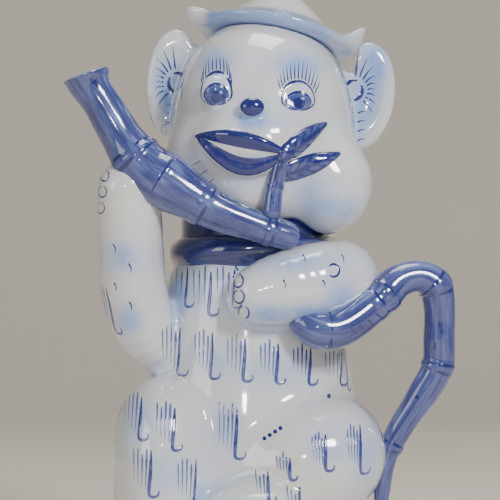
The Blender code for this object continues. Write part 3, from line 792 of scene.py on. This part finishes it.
def spout_and_stalk():
    """From the paw up across the chest, thickest where the spout turns up to its flared lip."""
    stalk, spout = "bamboo_chest_stalk", "bamboo_spout"
    line = np.vstack([
        offset_from(stalk, (
            (23.7, 2.0, -12.7, 5.4), (13.1, 0.0, -9.3, 6.0), (-2.1, -1.0, -3.7, 7.4), (-12.3, -1.0, 1.9, 9.0),
            (-23.3, 0.0, 8.5, 11.0))),
        offset_from(spout, (
            (10.0, 0.4, -12.75, 10.2), (4.7, 0.9, -7.25, 9.3), (-0.6, 1.4, 0.75, 7.9),
            (-6.8, 1.9, 11.35, 7.3), (-11.6, 2.4, 18.75, 7.9), (-13.2, 2.4, 22.75, 9.0))),
    ])
    swellings = seen_on(spout, (5.0, -8.05, 1.0, 1.8))
    swellings += seen_on(stalk, (-7.3, -0.5, 0.7, 1.5), (17.3, -10.3, 0.7, 1.4), (-23.3, 8.5, 0.5, 1.6))
    rings = seen_on(spout, (5.6, -8.85, 0.7), (3.4, -6.05, 0.6))
    rings += seen_on(stalk, (-6.5, -0.9, 0.55), (-23.3, 8.5, 0.45), (18.1, -10.7, 0.6), (15.5, -9.7, 0.4))
    marks = seen_on(
        stalk, (-1.3, 3.5, 1.6, -2.6, 0.6), (0.5, 3.1, 1.2, -2.2, 0.5), (-13.3, 8.0, 3.4, -2.0, 0.5),
        (-4.3, -8.1, 3.0, -0.6, 0.45),
    ) + seen_on(
        spout, (16.0, -4.05, 1.4, -4.6, 0.9), (-10.7, 20.55, 3.0, -2.6, 1.0), (-1.4, 3.35, 1.0, -4.0, 0.45),
        (-7.9, 14.35, 1.2, -3.6, 0.5),
    )
    return bamboo_rod("bamboo_spout_and_stalk", line, swellings, rings, marks, (spout, stalk), bore=5.0)


def handle():
    """A branch that dips under the paw, climbs to the finger loop and thins out down the thigh."""
    root, loop, tail = "handle_upper_root", "handle_loop", "handle_lower_root"
    line = np.vstack([
        offset_from(root, (
            (-14.9, -3.0, -1.6, 6.2), (-8.9, -4.0, -4.6, 7.5), (-2.4, -2.5, -4.6, 7.7), (5.1, 0.5, -0.7, 7.4),
            (15.1, 4.5, 7.3, 7.2))),
        offset_from(loop, (
            (-6.1, -0.9, 13.0, 6.5), (1.7, 1.1, 15.0, 6.3), (7.9, 2.1, 11.8, 6.5), (9.9, 3.1, 4.1, 6.2),
            (9.9, 3.6, -8.4, 6.0))),
        offset_from(tail, (
            (9.1, 0.0, 26.45, 6.2), (3.7, 0.0, 16.35, 5.8), (-3.7, 0.0, 5.25, 5.0), (-8.5, 0.0, -3.65, 4.3),
            (-11.1, 0.0, -13.25, 3.5), (-12.5, 0.0, -25.25, 2.8))),
    ])
    swellings = seen_on(root, (16.1, 8.3, 0.7, 1.6), (11.6, 4.3, 0.5, 1.3))
    swellings += seen_on(loop, (8.1, 11.6, 0.7, 1.5))
    swellings += seen_on(tail, (9.1, 26.45, 0.8, 1.6), (-8.8, -4.05, 0.9, 1.5))
    rings = seen_on(root, (16.7, 8.8, 0.6), (12.7, 5.4, 0.6), (-5.9, -5.0, 0.5))
    rings += seen_on(loop, (7.1, 12.8, 0.5), (9.1, 9.2, 0.5))
    rings += seen_on(tail, (9.2, 27.55, 0.6), (8.7, 25.15, 0.5), (-8.3, -2.85, 0.6), (-9.1, -5.05, 0.5))
    marks = seen_on(
        root, (3.1, -4.2, 2.0, -2.4, 0.5), (6.5, -3.2, 2.0, -2.2, 0.5), (9.7, -1.2, 2.2, -1.8, 0.5),
        (12.7, 1.2, 2.0, -1.4, 0.5),
    ) + seen_on(tail, (0.7, 15.35, 0.9, -0.6, 0.8)) + seen_on(
        loop, (-6.5, 17.6, 2.4, 0.8, 0.5), (9.5, -2.4, 1.0, -4.0, 0.45), (7.3, -8.4, 0.6, -4.4, 0.4),
    )
    return bamboo_rod("bamboo_handle", line, swellings, rings, marks, (root, loop, tail))


def scarf_blue():
    graph = Graph("cobalt_scarf")
    load = graph.paint()
    grain = graph.node("ShaderNodeAttribute", out="Vector", attribute_name="grain")
    fibre = graph.noise(3.0, grain, detail=6.0, rough=0.6)
    tint = graph.mix(graph.band(fibre, 0.36, 0.66), (0.010, 0.014, 0.11), (0.035, 0.05, 0.26))
    tint = graph.mix(load[0], tint, (0.30, 0.34, 0.68))
    return graph.glaze(tint, rough=0.12)


def scarf_ring():
    """A rolled ring with soft folds, with painted shade darkening it towards the spout side; it is paler
    towards the handle side.
    """
    count, section = ((150, 28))
    middle = middle_of("neck_scarf")
    points, colour, grain = [], [], []
    for i in range(count):
        angle = 2 * math.pi * i / count
        outward = np.array([math.cos(angle), math.sin(angle), 0.0])
        centre = middle + (29.4 * outward[0], 28.0 * outward[1], 0.5 * math.sin(3 * angle + 0.6) - 0.1)
        # Painted shade: the cobalt is darkest on the spout side and paler towards the handle side.
        shade = 0.5 - 0.5 * math.tanh((centre[0] - middle[0] - 12.0) / 14.0)
        for j in range(section):
            turn = 2 * math.pi * j / section
            fold = 1.0 + 0.05 * math.sin(4 * turn + 2.0 * math.sin(2 * angle))
            fold += 0.03 * math.sin(9 * angle + turn)
            rise = np.array([0, 0, 6.0 * fold * math.sin(turn)])
            points.append(centre + outward * (4.2 * fold * math.cos(turn)) + rise)
            colour.append((0.32 * (1 - shade), 0.30 * (1 - shade), 0.0))
            grain.append((math.cos(turn) * 2.2, math.sin(turn) * 2.2, angle * 1.4 + 0.25 * turn))
    faces = [face[::-1] for face in quads_round(count, section, closed=True)]
    return make("neck_scarf_ring", points, faces, "pot", ("neck_scarf",), colour, grain, scarf_blue())


spout_and_stalk()
handle()
scarf_ring()

# ---------------------------------------------------------------- the lid, in its own leaning frame
side = np.array([1.0, 0.0, 0.0]) - lid_axis * lid_axis[0]
side /= np.linalg.norm(side)
lid_turn = np.stack([side, np.cross(lid_axis, side), lid_axis], 1)


def on_lid(points):
    """Points of the lid's own frame, whose z runs up its axis from the seat."""
    return np.array(points) @ lid_turn.T + seat


def brim_point(angle):
    """1 at the brim's two upturned points, a little forward of its left and right ends."""
    return math.exp(-(((-math.sin(angle) - 0.30) / 0.16) ** 2))


def hat():
    """Crown and turned-up brim: rows of radius, height, and the reach and rise of the brim at its points."""
    inner = ((0.5, 18.6, 0, 0), (5.0, 17.6, 0, 0), (10.0, 13.8, 0, 0), (15.0, 9.2, 0, 0))
    outer = smooth_line((
        (17.7, 6.4, 0, 0), (17.7, 3.0, 0, 0), (18.2, 0.6, 0, 0), (22.0, 0.3, 0, 0), (26.4, 0.3, 0, 0),
        (28.0, 0.8, 4.0, 2.0), (28.9, 1.8, 5.6, 4.6), (29.0, 3.2, 6.6, 7.2), (28.3, 4.0, 6.4, 7.6),
        (26.6, 5.0, 4.4, 4.4), (24.6, 6.6, 2.2, 1.8), (20.6, 10.2, 0, 0), (15.2, 15.0, 0, 0),
        (9.4, 19.8, 0, 0), (5.0, 22.6, 0, 0), (1.2, 23.3, 0, 0)), 4)
    count = 140
    points, colour = [], []
    for radius, height, reach, rise in (*inner, *outer):
        for i in range(count):
            angle = 2 * math.pi * i / count
            front = min(max(0.5 - 2.0 * math.sin(angle), 0.0), 1.0)
            tip = brim_point(angle)
            left = tip if math.cos(angle) < 0 else 0.0
            out = radius + reach * (0.45 * front + 0.55 * tip + 0.45 * left)
            x = out * math.cos(angle)
            points.append((x, out * math.sin(angle), height + rise * tip * (1.0 - 0.68 * left)))
            band = min(max((out - 21.5) / 2.5, 0.0), 1.0)
            fade = 1.0 - 0.8 * max(0.0, min(1.0, (x - 16.0) / 18.0))
            fade *= 1.0 - 0.9 * max(0.0, min(1.0, (-x - 25.5) / 4.0))
            colour.append((band * fade, 0.0, 0.0))
    faces = quads_round(len(inner) + len(outer), count)
    return make("hat", on_lid(points), faces, "lid", ("lid_hat",), colour, None, HAT_BLUE)


def lathe(name, rows, nodes, shade, material, closed=False):
    """A turned piece of the lid: rows of radius and height."""
    made = []
    for radius, height in rows:
        for i in range(64):
            angle = 2 * math.pi * i / 64
            made.append((radius * math.cos(angle), radius * math.sin(angle), height))
    tones = [shade] * len(made)
    return make(name, on_lid(made), quads_round(len(rows), 64, closed), "lid", nodes, tones, None, material)


def knob():
    """A round knob on a short neck, its heights from the middle of its node."""
    rise = (middle_of("lid_knob") - seat) @ lid_axis
    profile = smooth_line((
        (0.3, -4.8), (3.3, -4.7), (3.0, -3.4), (4.4, -2.0), (5.6, 0.2), (5.4, 2.6), (3.8, 4.6), (1.6, 5.4),
        (0.05, 5.55)), 5)
    return lathe("hat_knob", profile + (0.0, rise), ("lid_knob",), (0.55, 0.0, 0.0), HAT_BLUE)


def rim():
    """The locating ring under the hat, of bare fired clay."""
    profile = (
        (17.6, -9.0), (18.2, -8.6), (18.4, -7.8), (18.4, -0.6), (18.2, -0.1), (17.9, 0.0), (15.9, 0.0),
        (15.6, -0.3), (15.6, -8.6), (15.9, -9.0),
    )
    return lathe("lid_rim", profile, ("lid_flange",), (0.0, 0.0, 0.75), PORCELAIN, closed=True)


hat()
knob()
rim()


# ---------------------------------------------------------------- brushwork laid on the surface
FRONT = (np.array([0.0, 0.0, 0.0]), np.array([1.0, 0.0, 0.0]), np.array([0.0, 1.0, 0.0]))
SHAPES = {
    "tail": lambda s: min(1.0, 0.45 + 3.0 * s) * (1.0 - 0.88 * s**1.4),
    "both": lambda s: 0.12 + 0.88 * math.sin(math.pi * s) ** 0.55,
    "even": lambda s: 0.35 + 0.65 * min(1.0, 6.0 * s, 6.0 * (1.0 - s)),
    "leaf": lambda s: 0.10 + 0.90 * math.sin(math.pi * s**0.72) ** 0.8,
}
LIFT, SINK = 0.07, 0.12


class Brush:
    """Collects strokes as thin raised ribbons whose edges sink into the glaze, for one piece."""

    def __init__(self, form):
        self.form, self.points, self.faces, self.colours = form, [], [], []

    def meet(self, flat, view):
        origin, right, forward = view
        start = origin + flat[:, :1] * right + flat[:, 1:] * np.array([0, 0, 1.0]) - forward * 110.0
        return cast(self.form, start, forward)

    def stroke(
        self, line, half, load=0.9, shape="tail", view=FRONT, crest=None, across=5, veins=None, spacing=0.6
    ):
        spacing *= 1
        flat, _ = even_line(line, spacing, steps=10, room=2, least=4)
        met = self.meet(flat, view)
        share = np.linspace(0.0, 1.0, len(flat))
        good = ~np.isnan(met[:, 0])
        jumps = np.linalg.norm(np.diff(met, axis=0), axis=1)
        good[1:] &= ~(jumps > 5.0 * spacing)
        runs_of, current = [], []
        for i, fine in enumerate(good):
            if fine:
                current.append(i)
            else:
                runs_of.append(current)
                current = []
        runs_of.append(current)
        if half > 1.5:
            across = max(across, 9)
        for run in runs_of:
            if len(run) >= 3:
                self.ribbon(met[run], share[run], half, load, SHAPES[shape], crest, across, veins)

    def ribbon(self, centre, share, half, load, shape, crest, across, veins):
        along = np.gradient(centre, axis=0)
        normal = slope(self.form, centre)
        normal /= np.linalg.norm(normal, axis=1, keepdims=True)
        sideways = np.cross(along, normal)
        sideways /= np.maximum(np.linalg.norm(sideways, axis=1, keepdims=True), 1e-9)
        offsets = np.linspace(-1.0, 1.0, across)
        width = np.array([shape(s) for s in share]) * half
        base = len(self.points)
        rows = centre[:, None, :] + sideways[:, None, :] * (width[:, None] * offsets)[..., None]
        flat = settle(self.form, rows.reshape(-1, 3), rounds=2, most=0.8)
        up = slope(self.form, flat)
        up /= np.maximum(np.linalg.norm(up, axis=1, keepdims=True), 1e-9)
        edge = np.abs(offsets) > 0.99
        lift = np.where(edge, -SINK, LIFT if half < 1.5 else 2 * LIFT)[None, :] * np.ones(len(share))[:, None]
        if crest is not None:
            dome = (1.0 - offsets**2) ** 0.6 * crest
            swell = np.minimum(1.0, width / half * 1.6)
            lift = np.where(edge[None, :], -SINK, dome[None, :] * swell[:, None])
        lift[[0, -1]] = -SINK
        self.points.extend(flat + up * lift.reshape(-1, 1))
        for i, s in enumerate(share):
            for t in offsets:
                if veins is None:
                    heavy = load * (1.0 - 0.35 * s) * (1.0 - 0.35 * t * t)
                    self.colours.append((heavy, 0.0, 0.0))
                else:
                    self.colours.append(veins(s, t))
        for i in range(len(share) - 1):
            for j in range(across - 1):
                a = base + i * across + j
                self.faces.append((a, a + 1, a + across + 1, a + across))

    def blot(self, outline, load=0.95, wash=0.0, view=FRONT, lift=LIFT):
        outline = np.array(outline, float)
        centre = outline.mean(0)
        base = len(self.points)
        rings = (0.03, 0.3, 0.6, 0.85, 0.95, 1.0)
        for share in rings:
            met = self.meet(centre + (outline - centre) * share, view)
            if np.isnan(met).any():
                del self.points[base:]
                del self.colours[base:]
                return
            up = slope(self.form, met)
            up /= np.linalg.norm(up, axis=1, keepdims=True)
            self.points.extend(met + up * (lift if share < 1.0 else -SINK))
            self.colours.extend([(load * (1.0 - 0.25 * share**3), wash, 0.0)] * len(outline))
        n = len(outline)
        for i in range(len(rings) - 1):
            for j in range(n):
                a, b = base + i * n + j, base + i * n + (j + 1) % n
                self.faces.append((a, a + n, b + n, b))

    def dot(self, x, z, radius, load=0.95, wash=0.0, view=FRONT, lift=LIFT, tall=1.0):
        ring = [2 * math.pi * i / 20 for i in range(20)]
        outline = [(x + radius * math.cos(a), z + radius * tall * math.sin(a)) for a in ring]
        self.blot(outline, load, wash, view, lift)

    def tuft(self, left, right, top, hook_x, hook_z, lines, view=FRONT, half=0.98):
        """A lock of fur: lines running down side by side, the last curling up in a round hook."""
        count = lines + 1
        for i in range(count):
            s = i / (count - 1)
            x = left + (right - left) * s
            start = top + 1.3 * math.sin(2.1 * i + left) - 0.6 * s
            end_x = hook_x - (1.0 - s) * (right - left) * 0.86 - 1.6
            end = hook_z + 1.2 + (1.0 - s) * 0.22 * (top - hook_z)
            line = [(x, start), (x + (end_x - x) * 0.28, start + (end - start) * 0.5), (end_x, end)]
            weight = half * (0.6 + 0.4 * s)
            if s == 1.0:
                curl = max(1.2, min(2.5, 0.06 * (top - hook_z) + 0.9))
                line += [(end_x + curl * 0.6, end - curl * 0.8), (end_x + 1.7 * curl, end - curl * 0.5),
                         (end_x + 2.0 * curl, end + 0.7 * curl)]
                self.stroke(line, weight * 1.15, 0.75, "both", view)
            else:
                self.stroke(line, weight, 0.5, "tail", view)

    def finish(self, name, nodes=()):
        return make(name, self.points, self.faces, "pot", nodes, self.colours, None, BRUSH)


def arch(centre, half, above, below, start=0.0, end=360.0, count=14):
    """Part of an egg-shaped outline, in degrees from its right-hand side."""
    angles = np.radians(np.linspace(start, end, count))
    tall = np.where(np.sin(angles) > 0, above, below)
    return np.stack([centre[0] + half * np.cos(angles), centre[1] + tall * np.sin(angles)], 1)


face_brush, body_brush = Brush(outer_head), Brush(outer_body)


def paint_eye(across, up, half, above, below, spread, lashes):
    """A dark lid over bare white, an iris standing on the lower lid, a painted highlight dot on it, and a fan
    of lashes.
    """
    centre = share_of("head_shell", across, up)
    face_brush.stroke(arch(centre, half, above, below, -90, 270), 0.6, 1.0, "even")
    face_brush.stroke(arch(centre, half, above, below, 205, -25, 9), 1.05, 1.0, "both")
    iris = centre - (0.0, 0.36 * below)
    face_brush.blot(arch(iris, 0.8 * half, 0.6 * above, 0.62 * below, 0, 345, 24), 0.7, 0.05)
    face_brush.stroke(arch(iris, 0.8 * half, 0.6 * above, 0.62 * below, 190, -10, 9), 0.85, 1.0, "both")
    face_brush.dot(*(iris + (0.3, 0.3)), 2.3, 1.0, lift=0.13)
    # Painted highlight: a small pale-blue dot on the iris.
    face_brush.dot(*(iris + (1.8, 2.0)), 0.6, 0.0, 1.0, lift=0.18)
    for i in range(lashes):
        s = i / (lashes - 1)
        angle = math.radians(160 - 140 * s)
        root = centre + (1.06 * half * math.cos(angle), 1.06 * above * math.sin(angle))
        tip = root + (spread * (s - 0.4), 6.6 + 1.6 * math.sin(math.pi * s))
        bow = (root + tip) / 2 + (0.3 * (s - 0.5), 0.2)
        face_brush.stroke((root, bow, tip), 0.52, 0.75, "tail")


def paint_ear(node, across, up, side):
    """A curl with a tail, strokes fanning out from it to the ear's edge, and short dashes down below."""
    centre = share_of(node, across, up)
    angles = np.radians(np.linspace(60, 400, 14))
    curl = [centre + (side * 3.2 * math.cos(a), 3.8 * math.sin(a)) for a in angles]
    face_brush.stroke(curl, 1.1, 1.0, "even")
    face_brush.stroke([centre + (-side * 2.6, -1.5 - 2.6 * i) for i in range(4)], 0.9, 1.0, "tail")
    for i in range(9):
        angle = math.radians(84 - 17 * i)
        way = np.array([side * math.cos(angle), math.sin(angle)])
        reach = 8.5 + 6.5 * math.sin(angle) ** 2
        root, tip = centre + way * 4.8, centre + way * reach
        face_brush.stroke((root, (root + tip) / 2 + (0.0, 0.6), tip), 0.62, 0.85, "tail")
    for i in range(4):
        root = centre + (side * 0.8, -9.5 - 3.6 * i)
        face_brush.stroke((root, root + (side * 2.0, 0.9), root + (side * 4.2, 1.0)), 0.6, 0.85, "tail")


for eye in EYES:
    paint_eye(*eye)
paint_ear("ear_spout_side", 0.585, 0.51, -1)
paint_ear("ear_handle_side", 0.27, 0.56, 1)
for rise, start, end, half, load in (
    (UPPER_BOW, -0.03, 1.06, 2.7, 1.7), (0.2, 0.03, 0.98, 2.0, 1.5),
    (LOWER_BOW, 0.0, 1.0, 3.4, 1.25), (-6.6, 0.04, 0.98, 2.5, 1.2),
):
    face_brush.stroke(mouth_line(rise, start, end), half, load, "both")
nose_at = share_of("head_shell", 0.4245, 0.602)
face_brush.dot(*nose_at, 4.7, 1.0, tall=0.78)
for i in range(3):
    root = share_of("head_shell", 0.19 + 0.03 * i, 0.37 - 0.04 * i)
    face_brush.stroke((root, root - (4.4, 2.0 + 0.8 * i), root - (8.2, 2.4 + 1.6 * i)), 0.32, 0.6, "tail")


def comma(node, across, up, length, bend=1.0):
    root = share_of(node, across, up)
    line = (root, root + (1.2 * bend, -0.5 * length), root + (0.8 * bend, -length))
    body_brush.stroke(line, 0.6, 0.95, "tail")


# Finger ends, commas and a curl on the paws.
for i in range(4):
    finger = share_of("arm_handle_side", 0.055 + 0.012 * (i - 1.2) ** 2, 0.71 - 0.19 * i)
    body_brush.stroke(arch(finger, 2.0, 2.5, 2.5, 90, 450), 0.6, 0.9, "even")
for i in range(3):
    finger = share_of("arm_spout_side", 0.10 - 0.03 * i, 0.945 - 0.075 * i)
    body_brush.stroke(arch(finger, 1.7, 2.1, 2.1, 90, 450), 0.45, 0.9, "even")
curl_at = share_of("arm_handle_side", 0.69, 0.64)
body_brush.stroke(arch(curl_at, 2.2, 2.4, 2.4, 150, -150), 0.7, 1.0, "even")
for i in range(5):
    comma("arm_handle_side", 0.22 + 0.13 * i, 0.84 - 0.30 * (i % 2), 3.6)
for i in range(4):
    comma("arm_spout_side", 0.20 + 0.20 * (i % 2), 0.63 - 0.09 * i, 4.2)


def lock(node, across, up, length, lines=4, width=6.6, lean=2.5):
    x, z = share_of(node, across, up)
    body_brush.tuft(x - width / 2, x + width / 2, z, x + lean + 1.6, z - length, lines)


# Fur in front: rows over the chest and belly, staggered pairs on the upright leg, a fan on the crossed one.
for i in range(3):
    lock("torso_shell", 0.20 + 0.10 * i, 0.93, 18.0 - 3.0 * abs(i - 1), 3)
for i in range(6):
    lock("torso_shell", 0.17 + 0.137 * i, 0.755 - 0.015 * i, 19.0 - i, 4)
lock("torso_shell", 0.41, 0.52, 20.0)
for row in range(3):
    for i in range(2):
        across = 0.22 + 0.35 * i + 0.11 * (row % 2) * (1 + i)
        lock("leg_spout_side", across, 0.93 - 0.28 * row - 0.05 * i, 17.5, 4)
for i in range(3):
    lock("leg_handle_side", 0.26 + 0.25 * i, 0.79 - 0.05 * (2 - i) ** 2, 10.0 + 4.0 * i, 4, 5.0)
    lock("leg_handle_side", 0.11 + 0.22 * i, 0.45 - 0.11 * i, 10.0, 3, 4.6)
for i in range(4):
    body_brush.dot(*(share_of("leg_handle_side", 0.13, 0.69) + (2.0 * i, 1.3 * i)), 0.8)
body_brush.dot(*share_of("torso_shell", 0.83, 0.54), 0.8)


def round_view(angle, centre):
    """The view towards an upright line through centre, from round the side."""
    forward = np.array([-math.sin(angle), math.cos(angle), 0.0])
    right = np.array([math.cos(angle), math.sin(angle), 0.0])
    return np.array([centre[0], centre[1], 0.0]), right, forward


# Fur on the sides and the back, in staggered rows round the body and the head.
for row, up in enumerate((0.858, 0.699, 0.540, 0.373, 0.207)):
    for step in range(11):
        angle = math.radians(62 + step * 23.6 + (row % 2) * 11.8 + rng.uniform(-3, 3))
        if angle > math.radians(300):
            continue
        z = share_of("torso_shell", 0.5, up)[1] + rng.uniform(-2.5, 2.5)
        reach = rng.uniform(15.0, 19.0)
        hook = 1.6 + rng.uniform(-1, 1)
        lines = rng.choice((3, 4, 4))
        body_brush.tuft(-3.6, 3.0, z, hook, z - reach, lines, round_view(angle, (0.0, 1.0)))
for row, up in enumerate((0.827, 0.614, 0.401, 0.188)):
    for step in range(9):
        angle = math.radians(78 + step * 25.0 + (row % 2) * 12.0 + rng.uniform(-3, 3))
        if angle > math.radians(285):
            continue
        z = share_of("head_shell", 0.5, up)[1] + rng.uniform(-2, 2)
        reach = rng.uniform(11.0, 14.0)
        view = round_view(angle, skull_at[:2] + (-1.9, 3.0))
        face_brush.tuft(-3.2, 2.8, z, 1.2, z - reach, 3, view, half=0.5)
for node in ("foot_spout_side", "foot_handle_side"):
    for i in range(3):
        x, z = share_of(node, 0.30 + 0.20 * i, 0.64 + 0.06 * (i % 2))
        toe = ((x - 1.6, z - 3.0), (x - 1.2, z + 1.6), (x + 1.0, z + 1.8), (x + 1.6, z - 2.6))
        body_brush.stroke(toe, 0.5, 0.9, "both")
face_brush.finish("brushwork_head")
body_brush.finish("brushwork_body")


def veined(s, t):
    """A leaf's paint: mid-blue with a dark midrib, side veins and edge."""
    rib = math.exp(-((t / 0.10) ** 2))
    vein = max(0.0, math.cos((s * 7.0 - abs(t) * 1.3) * 2 * math.pi)) ** 6 * 0.6
    rim = max(0.0, abs(t) - 0.78) * 2.0
    return min(1.4, 0.62 + rib * 0.7 + vein * 0.7 + rim), 0.0, 0.0


def sprig():
    """The sprig in the cub's mouth: two raised leaves on a short stalk."""
    leaves = Brush(outer_head)
    upper = seen_on("leaf_upper", (-9.8, -7.8), (-5.6, -3.8), (-0.4, 0.6), (4.6, 4.7), (9.0, 7.6))
    lower = seen_on("leaf_lower", (-15.1, -4.35), (-8.3, -2.75), (-0.7, -0.15), (5.9, 2.25), (11.3, 4.45))
    for line, half in ((upper, 4.3), (lower, 4.6)):
        leaves.stroke(line, half, 0.5, "leaf", crest=1.9, across=17, veins=veined, spacing=0.4)
    leaves.finish("sprig_leaves", ("leaf_upper", "leaf_lower"))
    stem = "sprig_stem"
    line = offset_from(stem, (
        (-1.15, -0.25, -8.45, 3.3), (-0.35, -0.15, -0.95, 3.3), (1.45, -0.95, 7.55, 3.1),
        (2.65, -1.55, 11.05, 2.4)))
    ring = (0.05, 1.55, 0.4)
    marks = seen_on(stem, (-1.35, -1.95, 0.6, -3.0, 0.35), (0.25, 6.55, 0.5, -3.0, 0.35))
    bamboo_rod("sprig_stalk", line, seen_on(stem, (*ring, 1.0)), seen_on(stem, ring), marks, (stem,))


sprig()

# ---------------------------------------------------------------- floor, light and camera


def floor_material():
    graph = Graph("pale_floor")
    tint = graph.mix(graph.noise(8.0, detail=2.0), (0.74, 0.67, 0.57), (0.79, 0.72, 0.62))
    graph.link(tint, graph.shader.inputs["Base Color"])
    graph.shader.inputs["Roughness"].default_value = 0.75
    return graph.material


def backdrop():
    bm = bmesh.new()
    """A pale floor that bends up behind the pot."""
    bend, run, top, front, half_width = 0.6, 0.9, 3.0, -2.5, 3
    profile = [(front, 0.0), (run, 0.0)]
    for i in range(1, 17):
        angle = math.radians(90 * i / 16)
        profile.append((run + bend * math.sin(angle), bend - bend * math.cos(angle)))
    profile.append((run + bend, top))
    before = None
    for y, z in profile:
        row = [bm.verts.new((-half_width, y, z)), bm.verts.new((half_width, y, z))]
        if before:
            bm.faces.new((before[0], before[1], row[1], row[0]))
        before = row
    mesh = bpy.data.meshes.new("backdrop")
    bm.to_mesh(mesh)
    bm.free()
    mesh.shade_smooth()
    mesh.materials.append(floor_material())
    obj = bpy.data.objects.new("backdrop", mesh)
    obj.location.z = HOME[2] * MM
    bpy.context.scene.collection.objects.link(obj)


def area_light(name, place, size, power, colour=(1.0, 1.0, 1.0)):
    data = bpy.data.lights.new(name, "AREA")
    data.energy, data.size, data.color = power, size, colour
    obj = bpy.data.objects.new(name, data)
    bpy.context.scene.collection.objects.link(obj)
    obj.location = place
    obj.rotation_euler = (Vector((0, 0, 0.12)) - Vector(place)).to_track_quat("-Z", "Y").to_euler()


backdrop()
area_light("key", (0.60, -0.95, 0.75), 0.26, 13.0)
area_light("fill", (-0.95, -0.70, 0.40), 0.50, 2.6)
area_light("top", (0.05, 0.10, 1.2), 0.50, 5.5)
area_light("glint", (-0.12, -1.25, 0.42), 0.07, 1.6)
world = bpy.data.worlds.new("studio")
bpy.context.scene.world = world
world.use_nodes = True
world.node_tree.nodes["Background"].inputs[0].default_value = (0.90, 0.95, 1.0, 1.0)
world.node_tree.nodes["Background"].inputs[1].default_value = 0.26

camera = bpy.data.objects.new("camera", bpy.data.cameras.new("camera"))
bpy.context.scene.collection.objects.link(camera)
AWAY, WINDOW, SHOWN_PLANE, EYE_HEIGHT = 1.0, 0.190, 0.03, 0.1235
camera.location = Vector((HOME * MM).tolist()) + Vector((0.0, -AWAY, EYE_HEIGHT))
camera.rotation_euler = (math.radians(90), 0, 0)
camera.data.sensor_width = 36
camera.data.lens = 36 * (AWAY - SHOWN_PLANE) / WINDOW
bpy.context.scene.camera = camera
